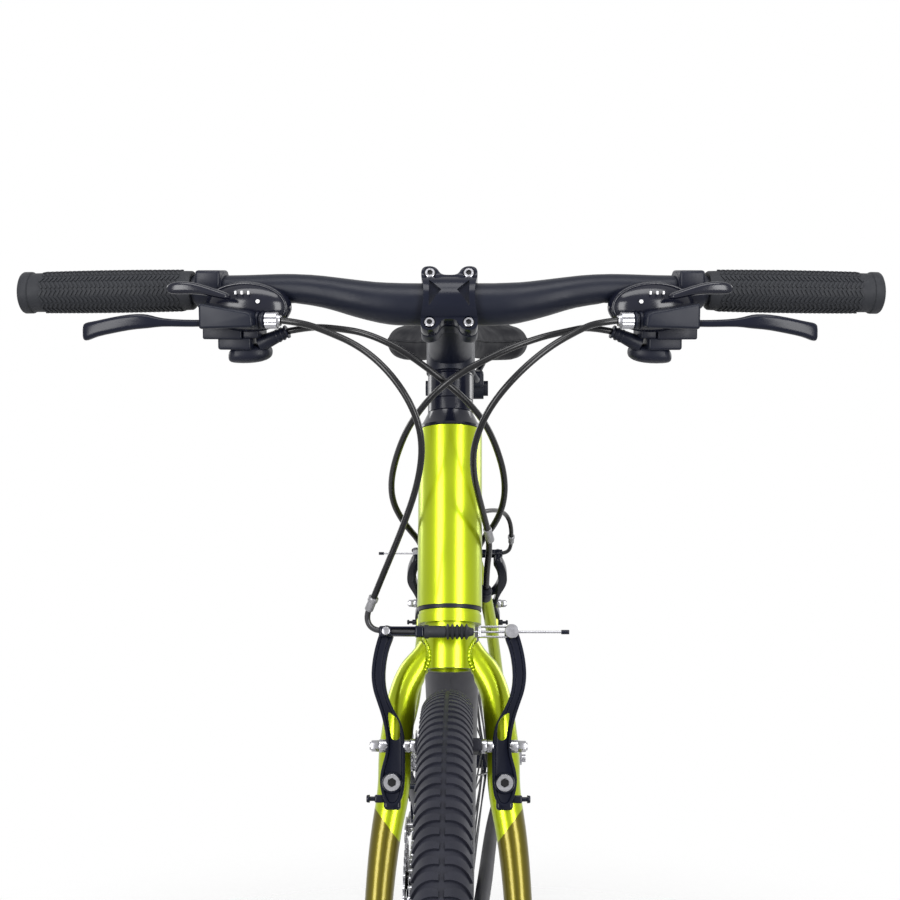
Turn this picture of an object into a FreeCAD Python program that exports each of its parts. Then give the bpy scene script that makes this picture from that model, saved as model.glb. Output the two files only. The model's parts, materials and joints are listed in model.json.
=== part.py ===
import FreeCAD
import Part
import math
import os

import Sketcher
from FreeCAD import Placement, Rotation, Vector
from types import SimpleNamespace

# Hybrid bicycle, millimetres, +Z up, front towards -Y, drive side -X.
# The origin is on the floor, midway between the wheel axles.

DOC = FreeCAD.newDocument("hybrid_bicycle")

SIZES = {
    # Wheels
    "wheelbase": 1070.0,
    "tyre_radius": 345.0,
    "tyre_width": 35.0,
    "tyre_wall": 2.6,
    "tread_depth": 4.5,
    "rim_radius": 316.0,
    "rim_depth": 26.0,
    "rim_width": 24.0,
    "rim_wall": 2.4,
    "spoke_dia": 2.2,
    "spoke_count": 32.0,
    "front_hub_width": 100.0,
    "rear_hub_width": 135.0,
    "front_axle_dia": 9.0,
    "rear_axle_dia": 10.0,
    "flange_radius": 24.0,
    "running_gap": 0.05,
    "side_gap": 0.4,
    # Steering geometry
    "head_angle": 71.0,
    "fork_length": 410.0,
    "fork_rake": 48.0,
    "headset_stack": 6.0,
    "head_tube_length": 140.0,
    "head_tube_dia": 50.0,
    "head_tube_wall": 3.0,
    "steerer_dia": 28.6,
    "steerer_bore": 22.0,
    "crown_dia": 49.0,
    "crown_height": 7.0,
    "neck_dia": 39.0,
    "neck_height": 42.0,
    "neck_bore": 30.0,
    "cover_height": 14.0,
    "thin_spacer": 2.0,
    "tall_spacer": 20.0,
    "short_spacer": 10.0,
    "spacer_dia": 36.0,
    # Fork and front brake
    "blade_dia": 25.0,
    "blade_tip_dia": 15.0,
    "dropout_thickness": 6.0,
    "boss_height": 279.0,
    "boss_spacing": 83.0,
    "boss_dia": 9.0,
    "brake_arm_length": 111.0,
    "brake_arm_thickness": 9.0,
    "brake_plane": 27.0,
    "pad_height": 27.0,
    "pad_gap": 2.9,
    # Stem and bar
    "stem_length": 90.0,
    "stem_rise": 7.0,
    "stem_clamp_height": 38.0,
    "stem_wall": 5.0,
    "faceplate_width": 43.0,
    "bar_clamp_dia": 31.8,
    "bar_grip_dia": 22.2,
    "bar_width": 660.0,
    "bar_rise": 11.5,
    "bar_sweep": 9.0,
    "bar_wall": 2.4,
    "grip_length": 135.0,
    "grip_dia": 32.6,
    "plug_length": 3.0,
    "control_gap": 21.0,
    "housing_dia": 5.0,
    "wire_dia": 1.8,
    # Main frame
    "seat_angle": 73.0,
    "bottom_bracket_drop": 65.0,
    "chainstay_length": 445.0,
    "seat_tube_length": 480.0,
    "seat_tube_dia": 34.9,
    "seatpost_dia": 31.6,
    "top_tube_dia": 32.0,
    "down_tube_dia": 48.0,
    "tube_wall": 2.0,
    "shell_dia": 42.0,
    "shell_width": 68.0,
    "shell_wall": 4.0,
    "chain_stay_dia": 17.0,
    "seat_stay_dia": 14.0,
    "bottle_spacing": 64.0,
    "bottle_boss_dia": 9.0,
    "bottle_hole_dia": 4.2,
    "eyelet_hole_dia": 4.2,
    # Saddle
    "saddle_rise": 82.9,
    "saddle_length": 265.0,
    "saddle_width": 160.0,
    "saddle_depth": 50.0,
    "saddle_setback": 133.9,
    "rail_dia": 7.0,
    "rail_spread": 44.0,
    # Drive train
    "chain_pitch": 12.7,
    "roller_dia": 7.7,
    "chain_line": 45.0,
    "ring_step": 7.0,
    "cog_step": 5.0,
    "sprocket_thickness": 1.8,
    "small_ring_teeth": 28.0,
    "middle_ring_teeth": 38.0,
    "big_ring_teeth": 48.0,
    "engaged_cog_teeth": 20.0,
    "jockey_teeth": 11.0,
    "cage_length": 56.0,
    "crank_length": 170.0,
    "crank_angle": 22.0,
    "spindle_dia": 17.0,
    "pedal_spindle_dia": 12.0,
    "pedal_length": 96.0,
    "pedal_width": 84.0,
    "pedal_height": 26.0,
}

SHEET = DOC.addObject("Spreadsheet::Sheet", "Sizes")
for row, (alias, value) in enumerate(SIZES.items(), start=1):
    SHEET.set("A%d" % row, alias)
    SHEET.set("B%d" % row, str(value))
    SHEET.setAlias("B%d" % row, alias)
DOC.recompute()

S = SimpleNamespace(**{alias: float(SHEET.get(alias)) for alias in SIZES})

X_AXIS = Vector(1, 0, 0)
Y_AXIS = Vector(0, 1, 0)
Z_AXIS = Vector(0, 0, 1)
ORIGIN = Vector(0, 0, 0)

SUBPARTS = []


def keep(feature, label):
    """Name a finished document object as one sub-part."""
    feature.Label = label
    SUBPARTS.append(feature)
    return feature


def add_shape(label, shape, placement=Placement()):
    """Hold a shape made from curves as one sub-part."""
    feature = DOC.addObject("Part::Feature", label)
    feature.Shape = shape
    feature.Placement = placement.multiply(shape.Placement)
    return keep(feature, label)


def bound(kind, name, placement=Placement(), **expressions):
    """Add a primitive whose sizes are tied to cells of the sheet."""
    feature = DOC.addObject(kind, name)
    for property_name, expression in expressions.items():
        feature.setExpression(property_name, expression)
    feature.Placement = placement
    return feature


def origin_plane(body, role):
    """Find one of a body's own origin planes by its role."""
    return next(item for item in body.Origin.OriginFeatures if item.Role == role)


def turned_body(label, outline, placement):
    """Turn a closed outline of (along, radius) points about the body's own X axis."""
    body = DOC.addObject("PartDesign::Body", label)
    sketch = body.newObject("Sketcher::SketchObject", label + "_outline")
    sketch.AttachmentSupport = (origin_plane(body, "XY_Plane"), [""])
    sketch.MapMode = "FlatFace"
    corners = [Vector(along, radius, 0) for along, radius in outline]
    count = len(corners)
    for index in range(count):
        line = Part.LineSegment(corners[index], corners[(index + 1) % count])
        sketch.addGeometry(line, False)
    for index in range(count):
        joint = Sketcher.Constraint("Coincident", index, 2, (index + 1) % count, 1)
        sketch.addConstraint(joint)
    turned = body.newObject("PartDesign::Revolution", label + "_turned")
    turned.Profile = sketch
    turned.ReferenceAxis = (sketch, ["H_Axis"])
    turned.Angle = 360.0
    body.Placement = placement
    return keep(body, label)


def ring_body(label, outer, inner, length, placement):
    """Pad a ring between two bound radii, given as expressions of the sheet."""
    body = DOC.addObject("PartDesign::Body", label)
    sketch = body.newObject("Sketcher::SketchObject", label + "_ring")
    sketch.AttachmentSupport = (origin_plane(body, "XY_Plane"), [""])
    sketch.MapMode = "FlatFace"
    for index, (radius, guess) in enumerate(((outer, 20.0), (inner, 10.0))):
        sketch.addGeometry(Part.Circle(ORIGIN, Z_AXIS, guess), False)
        sketch.addConstraint(Sketcher.Constraint("Coincident", index, 3, -1, 1))
        number = sketch.addConstraint(Sketcher.Constraint("Radius", index, guess))
        sketch.setExpression("Constraints[%d]" % number, radius)
    pad = body.newObject("PartDesign::Pad", label + "_pad")
    pad.Profile = sketch
    pad.setExpression("Length", length)
    body.Placement = placement
    return keep(body, label)


def rod(start, end, radius, bore=0.0):
    """A round bar, or a tube when it has a bore."""
    along = end - start
    solid = Part.makeCylinder(radius, along.Length, start, along)
    if bore > 0.0:
        solid = solid.cut(Part.makeCylinder(bore, along.Length, start, along))
    return solid


def cone(start, end, start_radius, end_radius):
    """A round bar that tapers between its two ends."""
    along = end - start
    if math.isclose(start_radius, end_radius):
        return rod(start, end, start_radius)
    return Part.makeCone(start_radius, end_radius, along.Length, start, along)


def rounded_box(low, high, radius):
    """A box between two corners with every edge rounded."""
    span = high - low
    box = Part.makeBox(span.x, span.y, span.z, low)
    limit = 0.45 * min(span.x, span.y, span.z)
    return box.makeFillet(min(radius, limit), box.Edges)


def fused(shapes):
    """Join overlapping solids into one piece."""
    return shapes[0].multiFuse(shapes[1:]).removeSplitter()


def capsule_plate(first, first_radius, second, second_radius, thickness):
    """A flat link in the XY plane, round at both ends, padded along Z about z = 0."""
    along = second - first
    span = along.Length
    heading = math.atan2(along.y, along.x)
    spread = math.acos((first_radius - second_radius) / span)

    def rim(centre, radius, angle):
        return centre + Vector(math.cos(angle), math.sin(angle), 0) * radius

    start_left = rim(first, first_radius, heading + spread)
    start_right = rim(first, first_radius, heading - spread)
    end_left = rim(second, second_radius, heading + spread)
    end_right = rim(second, second_radius, heading - spread)
    edges = [
        Part.Arc(start_left, rim(first, first_radius, heading + math.pi), start_right).toShape(),
        Part.LineSegment(start_right, end_right).toShape(),
        Part.Arc(end_right, rim(second, second_radius, heading), end_left).toShape(),
        Part.LineSegment(end_left, start_left).toShape(),
    ]
    plate = Part.Face(Part.Wire(edges)).extrude(Vector(0, 0, thickness))
    plate.translate(Vector(0, 0, -thickness / 2))
    return plate


def link_chain(points, radii, thickness):
    """Capsule plates joined end to end along a bent centre line in the XY plane."""
    steps = zip(points, radii, points[1:], radii[1:])
    return fused([capsule_plate(a, ra, b, rb, thickness) for a, ra, b, rb in steps])


def tapered_tube(points, radii, side, count=14):
    """A round tube that swells and tapers along a smooth line through the points."""
    curve = Part.BSplineCurve()
    curve.interpolate(points)
    knots = [curve.parameter(point) for point in points]
    wires = []
    for step in range(count + 1):
        knot = curve.FirstParameter + (curve.LastParameter - curve.FirstParameter) * step / count
        place = max(index for index in range(len(knots) - 1) if knots[index] <= knot + 1e-9)
        share = (knot - knots[place]) / (knots[place + 1] - knots[place])
        radius = radii[place] + (radii[place + 1] - radii[place]) * share
        tangent = curve.tangent(knot)[0]
        circle = Part.Circle(curve.value(knot), tangent, radius)
        across = side - tangent * side.dot(tangent)
        circle.XAxis = across.normalize()
        wires.append(Part.Wire(circle.toShape()))
    return Part.makeLoft(wires, True, False)


ARC_SHARE = 0.45


def cord(name, points, radius):
    """A round cord along straight runs joined by tangent arcs as large as the runs allow."""
    edges = []
    bends = []
    last = points[0]
    for before, corner, after in zip(points, points[1:], points[2:]):
        arriving = (corner - before).normalize()
        leaving = (after - corner).normalize()
        reach = ARC_SHARE * min((corner - before).Length, (after - corner).Length)
        turn = arriving.getAngle(leaving)
        bend = reach / math.tan(turn / 2)
        inward = (leaving - arriving).normalize()
        centre = corner + inward * (bend / math.cos(turn / 2))
        start = corner - arriving * reach
        end = corner + leaving * reach
        edges.append(Part.LineSegment(last, start).toShape())
        edges.append(Part.Arc(start, centre - inward * bend, end).toShape())
        bends.append(bend)
        last = end
    edges.append(Part.LineSegment(last, points[-1]).toShape())
    path = Part.Wire(edges)
    section = Part.Wire(Part.Circle(points[0], points[1] - points[0], radius).toShape())
    tube = path.makePipeShell([section], True, False)
    expected = math.pi * radius * radius * path.Length
    print("%s: length %.0f, least bend %.0f, volume %.3f of section by length"
          % (name, path.Length, min(bends), tube.Volume / expected))
    return tube


def mirrored(shape):
    """The same piece on the other side of the bicycle."""
    return shape.mirror(ORIGIN, X_AXIS)


def pair(shape):
    """A piece and its mirror image, as two solids of one sub-part."""
    return Part.makeCompound([shape, mirrored(shape)])


# Reference points and frames

FRONT_AXLE = Vector(0, -S.wheelbase / 2, S.tyre_radius)
REAR_AXLE = Vector(0, S.wheelbase / 2, S.tyre_radius)
STEER_TILT = 90.0 - S.head_angle
STEER_TURN = Rotation(X_AXIS, -STEER_TILT)
STEER_UP = STEER_TURN.multVec(Z_AXIS)
STEER_BACK = STEER_TURN.multVec(Y_AXIS)

# Steering frame: Z along the steering axis, -Y forward, the front axle at height 0.
STEERING = Placement(FRONT_AXLE + STEER_BACK * S.fork_rake, STEER_TURN)
CROWN_TOP = math.sqrt(S.fork_length ** 2 - S.fork_rake ** 2)
HEAD_BASE = CROWN_TOP + S.headset_stack
HEAD_TOP = HEAD_BASE + S.head_tube_length
SPACER_BASE = HEAD_TOP + S.side_gap + S.cover_height
STEM_BASE = SPACER_BASE + S.short_spacer + S.tall_spacer + S.thin_spacer
STEM_MIDDLE = STEM_BASE + S.stem_clamp_height / 2
RISE = math.radians(S.stem_rise)
BAR_LOCAL = Vector(0, -S.stem_length * math.cos(RISE), STEM_MIDDLE + S.stem_length * math.sin(RISE))

# Bar frame: the middle of the bar, with the bicycle's own axes.
BAR_CENTRE = STEERING.multVec(BAR_LOCAL)
BAR = Placement(BAR_CENTRE, Rotation())

# Stem frame: the middle of the bar, with -Y along the stem.
STEM = STEERING.multiply(Placement(BAR_LOCAL, Rotation(X_AXIS, -S.stem_rise)))

BRACKET_Z = S.tyre_radius - S.bottom_bracket_drop
BRACKET_Y = REAR_AXLE.y - math.sqrt(S.chainstay_length ** 2 - S.bottom_bracket_drop ** 2)
BRACKET = Vector(0, BRACKET_Y, BRACKET_Z)
SEAT_RISE = math.radians(S.seat_angle)
SEAT_UP = Vector(0, math.cos(SEAT_RISE), math.sin(SEAT_RISE))
SEAT_TOP = BRACKET + SEAT_UP * S.seat_tube_length


def steering_point(height):
    """A point of the steering axis, at a height above the foot of the axle."""
    return STEERING.multVec(Vector(0, 0, height))


# Main frame

HEAD_RADIUS = S.head_tube_dia / 2
SEAT_RADIUS = S.seat_tube_dia / 2
SHELL_RADIUS = S.shell_dia / 2
TOP_TUBE_DROP = 23.0
DOWN_TUBE_RISE = 42.0
DOWN_TUBE_FOOT_DIA = 38.0
TOP_TUBE_SEAT_DROP = 42.0
TOP_TUBE_HEAD = steering_point(HEAD_TOP - TOP_TUBE_DROP)
TOP_TUBE_SEAT = SEAT_TOP - SEAT_UP * TOP_TUBE_SEAT_DROP
DOWN_TUBE_HEAD = steering_point(HEAD_BASE + DOWN_TUBE_RISE)
DOWN_TUBE_RUN = (BRACKET - DOWN_TUBE_HEAD).normalize()
DOWN_TUBE_LENGTH = (BRACKET - DOWN_TUBE_HEAD).Length
DOWN_TUBE_UP = X_AXIS.cross(DOWN_TUBE_RUN)


def head_cylinder():
    reach = STEER_UP * S.head_tube_length
    return rod(steering_point(HEAD_BASE) - reach, steering_point(HEAD_TOP) + reach, HEAD_RADIUS)


def seat_cylinder():
    return rod(BRACKET, SEAT_TOP, SEAT_RADIUS)


def shell_cylinder():
    half = X_AXIS * (S.shell_width / 2)
    return rod(BRACKET - half, BRACKET + half, SHELL_RADIUS)


def down_tube_radius(distance):
    """Outer radius of the tapering down tube at a distance from the head tube."""
    foot = DOWN_TUBE_FOOT_DIA / 2
    top = S.down_tube_dia / 2
    return top + (foot - top) * distance / DOWN_TUBE_LENGTH


def make_head_tube():
    base = STEERING.multiply(Placement(Vector(0, 0, HEAD_BASE), Rotation()))
    outer = "Sizes.head_tube_dia / 2"
    inner = "Sizes.head_tube_dia / 2 - Sizes.head_tube_wall"
    ring_body("head_tube", outer, inner, "Sizes.head_tube_length", base)


def make_top_tube():
    tube = rod(TOP_TUBE_HEAD, TOP_TUBE_SEAT, S.top_tube_dia / 2, S.top_tube_dia / 2 - S.tube_wall)
    tube = tube.cut(head_cylinder()).cut(seat_cylinder())
    add_shape("top_tube", tube)


BOTTLE_MIDDLE = 330.0
BOTTLE_PROUD = 1.5
BOTTLE_DEPTH = 8.0


def make_down_tube():
    """A tapering tube with two threaded bottle-cage inserts on its upper side."""
    top = S.down_tube_dia / 2
    foot = DOWN_TUBE_FOOT_DIA / 2
    outer = cone(DOWN_TUBE_HEAD, BRACKET, top, foot)
    tube = outer.cut(cone(DOWN_TUBE_HEAD, BRACKET, top - S.tube_wall, foot - S.tube_wall))
    for side in (-1, 1):
        distance = BOTTLE_MIDDLE + side * S.bottle_spacing / 2
        skin = DOWN_TUBE_HEAD + DOWN_TUBE_RUN * distance + DOWN_TUBE_UP * down_tube_radius(distance)
        mouth = skin + DOWN_TUBE_UP * BOTTLE_PROUD
        floor = skin - DOWN_TUBE_UP * BOTTLE_DEPTH
        tube = tube.fuse(rod(floor, mouth, S.bottle_boss_dia / 2))
        tube = tube.cut(rod(floor, mouth, S.bottle_hole_dia / 2))
    tube = tube.cut(head_cylinder()).cut(seat_cylinder()).cut(shell_cylinder())
    add_shape("down_tube", tube.removeSplitter())


def make_seat_tube():
    """The seat tube, the bottom bracket shell and the bearing cartridge inside it."""
    bore = S.seatpost_dia / 2 + S.running_gap
    tube = rod(BRACKET, SEAT_TOP, SEAT_RADIUS, bore).cut(shell_cylinder())
    half = X_AXIS * (S.shell_width / 2)
    inside = SHELL_RADIUS - S.shell_wall
    shell = rod(BRACKET - half, BRACKET + half, SHELL_RADIUS, inside)
    cartridge = rod(BRACKET - half, BRACKET + half, inside, S.spindle_dia / 2 + S.running_gap)
    add_shape("seat_tube", Part.makeCompound([tube, shell, cartridge]))


def make_seat_clamp():
    """A split band round the top of the seat tube, closed by a cross bolt behind it."""
    band_height = 16.0
    band_wall = 3.2
    ear = Vector(16.0, 14.0, band_height)
    bolt_radius = 2.5
    local = Placement(SEAT_TOP, Rotation(X_AXIS, S.seat_angle - 90.0))
    radius = SEAT_RADIUS + band_wall
    band = rod(Vector(0, 0, -band_height), ORIGIN, radius)
    ears = Part.makeBox(ear.x, ear.y, ear.z, Vector(-ear.x / 2, SEAT_RADIUS, -band_height))
    slit = Part.makeBox(2.0, SEAT_RADIUS + ear.y + 1.0, band_height, Vector(-1.0, 0, -band_height))
    bolt_y = SEAT_RADIUS + ear.y - 6.0
    bolt_middle = Vector(0, bolt_y, -band_height / 2)
    shank = rod(bolt_middle - X_AXIS * 9.0, bolt_middle + X_AXIS * 9.0, bolt_radius)
    head = rod(bolt_middle + X_AXIS * (ear.x / 2), bolt_middle + X_AXIS * (ear.x / 2 + 5.0), 4.5)
    nut = rod(bolt_middle - X_AXIS * (ear.x / 2 + 4.0), bolt_middle - X_AXIS * (ear.x / 2), 4.5)
    band = fused([band, ears]).cut(slit).cut(rod(Vector(0, 0, -band_height), ORIGIN, SEAT_RADIUS))
    bolt = fused([shank, head, nut])
    add_shape("seat_clamp", Part.makeCompound([band.cut(bolt), bolt]), local)


def make_headset_races():
    """Bearing cups pressed into both ends of the head tube."""
    race_height = 3.0
    insert = 14.0
    bore = S.steerer_dia / 2 + S.running_gap
    inside = HEAD_RADIUS - S.head_tube_wall
    lip = rod(Vector(0, 0, CROWN_TOP + race_height), Vector(0, 0, HEAD_BASE), HEAD_RADIUS - 0.6)
    lower = rod(Vector(0, 0, HEAD_BASE), Vector(0, 0, HEAD_BASE + insert), inside)
    lower = fused([lip, lower]).cut(rod(ORIGIN, Vector(0, 0, HEAD_TOP), bore))
    upper = rod(Vector(0, 0, HEAD_TOP - insert), Vector(0, 0, HEAD_TOP), inside, bore)
    add_shape("headset_races", Part.makeCompound([lower, upper]), STEERING)


# Dropouts and stays

SIDE_PLANE = Rotation(Y_AXIS, Z_AXIS, X_AXIS, "XYZ")
REAR_DROPOUT_INNER = S.rear_hub_width / 2
REAR_DROPOUT_MIDDLE = REAR_DROPOUT_INNER + S.dropout_thickness / 2
STAY_JOINT_DROP = 58.0
STAY_JOINT = SEAT_TOP - SEAT_UP * STAY_JOINT_DROP
STAY_RUN = (STAY_JOINT - REAR_AXLE).normalize()
STAY_LENGTH = (STAY_JOINT - REAR_AXLE).Length
CHAIN_STAY_RUN = (REAR_AXLE - BRACKET).normalize()
HANGER = REAR_AXLE + Vector(0, 10.0, -28.0)
HANGER_BOLT_DIA = 10.0
REAR_EYELET = REAR_AXLE + Vector(0, 6.0, 26.0)
EYELET_RADIUS = 6.0


def side_plate(points, radii, thickness, middle_x):
    """A flat plate in the bicycle's side plane, through (Y, Z) points."""
    flat = link_chain([Vector(point.y, point.z, 0) for point in points], radii, thickness)
    flat.Placement = Placement(Vector(middle_x, 0, 0), SIDE_PLANE)
    return flat


def across(point, x_from, x_to, radius):
    """A bar along X through a point of the side plane."""
    return rod(Vector(x_from, point.y, point.z), Vector(x_to, point.y, point.z), radius)


def axle_slot(axle, axle_radius, plate_reach, x_from, x_to):
    """The open slot of a dropout, down from the axle."""
    low = Vector(x_from, axle.y - axle_radius, axle.z - plate_reach)
    slot = Part.makeBox(x_to - x_from, 2 * axle_radius, plate_reach, low)
    return slot.fuse(across(axle, x_from, x_to, axle_radius))


def make_chain_stays():
    """Two stays from the bottom bracket to the dropouts, which carry the axle and rack eyelets."""
    stay_radius = S.chain_stay_dia / 2
    beside_tyre = S.tyre_width / 2 + 6.0 + stay_radius
    end = S.chainstay_length
    route = [
        (S.shell_width / 2 - 10.0, 14.0, stay_radius),
        (beside_tyre - 4.5, 62.0, stay_radius),
        (beside_tyre, 116.0, stay_radius),
        (beside_tyre + 6.0, 200.0, stay_radius - 0.5),
        (REAR_DROPOUT_MIDDLE - 22.0, end - 140.0, stay_radius - 1.0),
        (REAR_DROPOUT_MIDDLE - 9.0, end - 64.0, stay_radius - 2.0),
        (REAR_DROPOUT_MIDDLE, end - 22.0, S.dropout_thickness / 2 + 2.0),
    ]
    points = [BRACKET + CHAIN_STAY_RUN * along + X_AXIS * x for x, along, radius in route]
    stay = tapered_tube(points, [radius for x, along, radius in route], Z_AXIS)
    plate_radius = 16.0
    forward = REAR_AXLE - CHAIN_STAY_RUN * 34.0
    upward = REAR_AXLE + STAY_RUN * 34.0
    x_inner = REAR_DROPOUT_INNER
    x_outer = REAR_DROPOUT_INNER + S.dropout_thickness
    plates = [
        side_plate([forward, REAR_AXLE], [9.0, plate_radius], S.dropout_thickness, REAR_DROPOUT_MIDDLE),
        side_plate([upward, REAR_AXLE], [8.0, plate_radius], S.dropout_thickness, REAR_DROPOUT_MIDDLE),
        side_plate([REAR_AXLE, REAR_EYELET], [plate_radius, EYELET_RADIUS], S.dropout_thickness,
                   REAR_DROPOUT_MIDDLE),
    ]
    outside_corner = Vector(x_outer, REAR_AXLE.y - 100.0, REAR_AXLE.z - 100.0)
    outside = Part.makeBox(50.0, 200.0, 200.0, outside_corner)
    axle_radius = S.rear_axle_dia / 2
    slot = axle_slot(REAR_AXLE, axle_radius, plate_radius + 1.0, x_inner - 1.0, x_outer + 1.0)
    eyelet = across(REAR_EYELET, x_inner - 1.0, x_outer + 1.0, S.eyelet_hole_dia / 2)
    trimmed = stay.cut(shell_cylinder()).cut(outside)
    left = fused([trimmed] + plates).cut(slot).cut(eyelet)
    right = mirrored(left)
    hanger = side_plate([REAR_AXLE + Vector(0, 9.0, -8.0), HANGER], [9.0, 10.0], S.dropout_thickness,
                        -REAR_DROPOUT_MIDDLE)
    hanger_hole = across(HANGER, -x_outer - 1.0, -x_inner + 1.0, HANGER_BOLT_DIA / 2)
    right = fused([right, hanger.cut(mirrored(slot))]).cut(hanger_hole)
    add_shape("chain_stays", Part.makeCompound([left, right]))


def rear_brake_frame():
    """Rear brake frame: Z along the seat stays from the axle, -Y out behind them."""
    back = X_AXIS.cross(STAY_RUN) * -1.0
    turn = Rotation(X_AXIS * -1.0, back * -1.0, STAY_RUN, "XYZ")
    return Placement(REAR_AXLE, turn)


REAR_BRAKE = rear_brake_frame()


def brake_studs():
    """The two pivot studs of a rim brake, standing out of the blades at y = 0."""
    collar_end = -(S.brake_plane - S.brake_arm_thickness / 2 - S.side_gap)
    stud_end = -(S.brake_plane + S.brake_arm_thickness / 2 + S.side_gap)
    x = S.boss_spacing / 2
    foot = Vector(x, 0, S.boss_height)
    collar = rod(foot, Vector(x, collar_end, S.boss_height), S.boss_dia / 2 + 3.0)
    stud = rod(foot, Vector(x, stud_end, S.boss_height), S.boss_dia / 2)
    return fused([collar, stud])


def make_seat_stays():
    """Two stays with brake studs, joined by a bridge above the tyre."""
    radius = S.seat_stay_dia / 2
    beside_tyre = S.tyre_width / 2 + 8.0 + radius
    route = [
        (SEAT_RADIUS - 3.0, STAY_LENGTH - 4.0, radius),
        (SEAT_RADIUS + 5.0, STAY_LENGTH - 44.0, radius),
        (beside_tyre, STAY_LENGTH - 104.0, radius),
        (S.boss_spacing / 2, S.boss_height, radius),
        (REAR_DROPOUT_MIDDLE - 15.0, 130.0, radius),
        (REAR_DROPOUT_MIDDLE - 1.0, 42.0, radius - 1.5),
    ]
    points = [REAR_AXLE + STAY_RUN * along + X_AXIS * x for x, along, size in route]
    stay = tapered_tube(points, [size for x, along, size in route], STAY_RUN.cross(X_AXIS))
    stud = brake_studs()
    stud.Placement = REAR_BRAKE
    left = fused([stay.cut(seat_cylinder()), mirrored(stud)])
    bridge_place = REAR_AXLE + STAY_RUN * (S.tyre_radius + 18.0)
    bridge = across(bridge_place, -beside_tyre, beside_tyre, 6.0)
    stays = fused([left, mirrored(left), bridge])
    plates = DOC.getObject("chain_stays").Shape
    solids = stays.cut(plates).Solids
    for bolt in pivot_bolts():
        bolt.Placement = REAR_BRAKE.multiply(bolt.Placement)
        solids.append(bolt)
    add_shape("seat_stays", Part.makeCompound(solids))


# Wheels

FRONT_FLANGES = (-33.0, 33.0)
REAR_FLANGES = (-22.0, 34.0)
FLANGE_THICKNESS = 3.0
CONE_LENGTH = 4.0


def tyre_outline():
    """Round carcass, thick at the tread, with both beads between the rim's walls."""
    half = S.tyre_width / 2
    centre = S.tyre_radius - half
    bead_x = S.rim_width / 2 - S.rim_wall - S.side_gap / 2
    bead_base = S.rim_radius - 8.0
    lip = S.rim_radius + S.side_gap
    low = math.asin((lip + 0.3 - centre) / half)
    steps = 14
    angles = [low + (math.pi - 2 * low) * step / steps for step in range(steps + 1)]
    outer = [(half * math.cos(a), centre + half * math.sin(a)) for a in angles]
    inner_width = half - S.tyre_wall
    inner_rise = half - S.tread_depth
    inner = []
    for a in reversed(angles):
        rise = inner_rise if math.sin(a) > 0 else inner_width
        inner.append((inner_width * math.cos(a), centre + rise * math.sin(a)))
    inside_x = bead_x - S.tyre_wall
    left = [(-bead_x, lip), (-bead_x, bead_base), (-inside_x, bead_base), (-inside_x, lip + S.tyre_wall)]
    right = [(inside_x, lip + S.tyre_wall), (inside_x, bead_base), (bead_x, bead_base), (bead_x, lip)]
    return outer + left + inner[1:-1] + right


def rim_outline():
    """A deep U section with a flat brake track each side."""
    half = S.rim_width / 2
    wall = S.rim_wall
    top = S.rim_radius
    base = S.rim_radius - S.rim_depth
    track = top - 15.0
    floor = half / 2
    return [
        (half, top), (half - wall, top), (half - wall, track + 1.0), (floor - 0.8, base + wall),
        (-floor + 0.8, base + wall), (-half + wall, track + 1.0), (-half + wall, top), (-half, top),
        (-half, track), (-floor, base), (floor, base), (half, track),
    ]


def hub_outline(flanges, left_end, right_end, bore):
    low, high = flanges
    half = FLANGE_THICKNESS / 2
    barrel = 12.0
    return [
        (left_end, bore), (left_end, barrel), (low - half, barrel), (low - half, S.flange_radius),
        (low + half, S.flange_radius), (low + half, barrel + 1.0), (high - half, barrel + 1.0),
        (high - half, S.flange_radius), (high + half, S.flange_radius), (high + half, barrel),
        (right_end, barrel), (right_end, bore),
    ]


def make_spokes(label, flanges, axle):
    """Crossed spokes from the two flanges to the rim."""
    count = int(S.spoke_count)
    hole_radius = S.flange_radius - 3.5
    rim_seat = S.rim_radius - S.rim_depth + S.rim_wall
    crossing = math.radians(66.0)
    spokes = []
    for index in range(count):
        side = index % 2
        lead = 1 if (index // 2) % 2 else -1
        rim_angle = 2 * math.pi * index / count
        hub_angle = rim_angle + lead * crossing
        face = FLANGE_THICKNESS / 2 + S.spoke_dia / 2
        start_x = flanges[side] + lead * face
        end_x = 2.0 if side else -2.0
        start = Vector(start_x, hole_radius * math.cos(hub_angle), hole_radius * math.sin(hub_angle))
        end = Vector(end_x, rim_seat * math.cos(rim_angle), rim_seat * math.sin(rim_angle))
        spokes.append(rod(start, end, S.spoke_dia / 2))
    add_shape(label, Part.makeCompound(spokes), Placement(axle, Rotation()))


def make_wheel(end, flanges, hub_left, hub_right, axle, bore):
    place = Placement(axle, Rotation())
    turned_body(end + "_tyre", tyre_outline(), place)
    turned_body(end + "_rim", rim_outline(), place)
    turned_body(end + "_hub", hub_outline(flanges, hub_left, hub_right, bore), place)
    make_spokes(end + "_spokes", flanges, axle)


def along_x(x, placement_y=0.0, placement_z=0.0):
    """Placement of a primitive whose own Z axis lies along +X."""
    return Placement(Vector(x, placement_y, placement_z), Rotation(Y_AXIS, 90.0))


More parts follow.
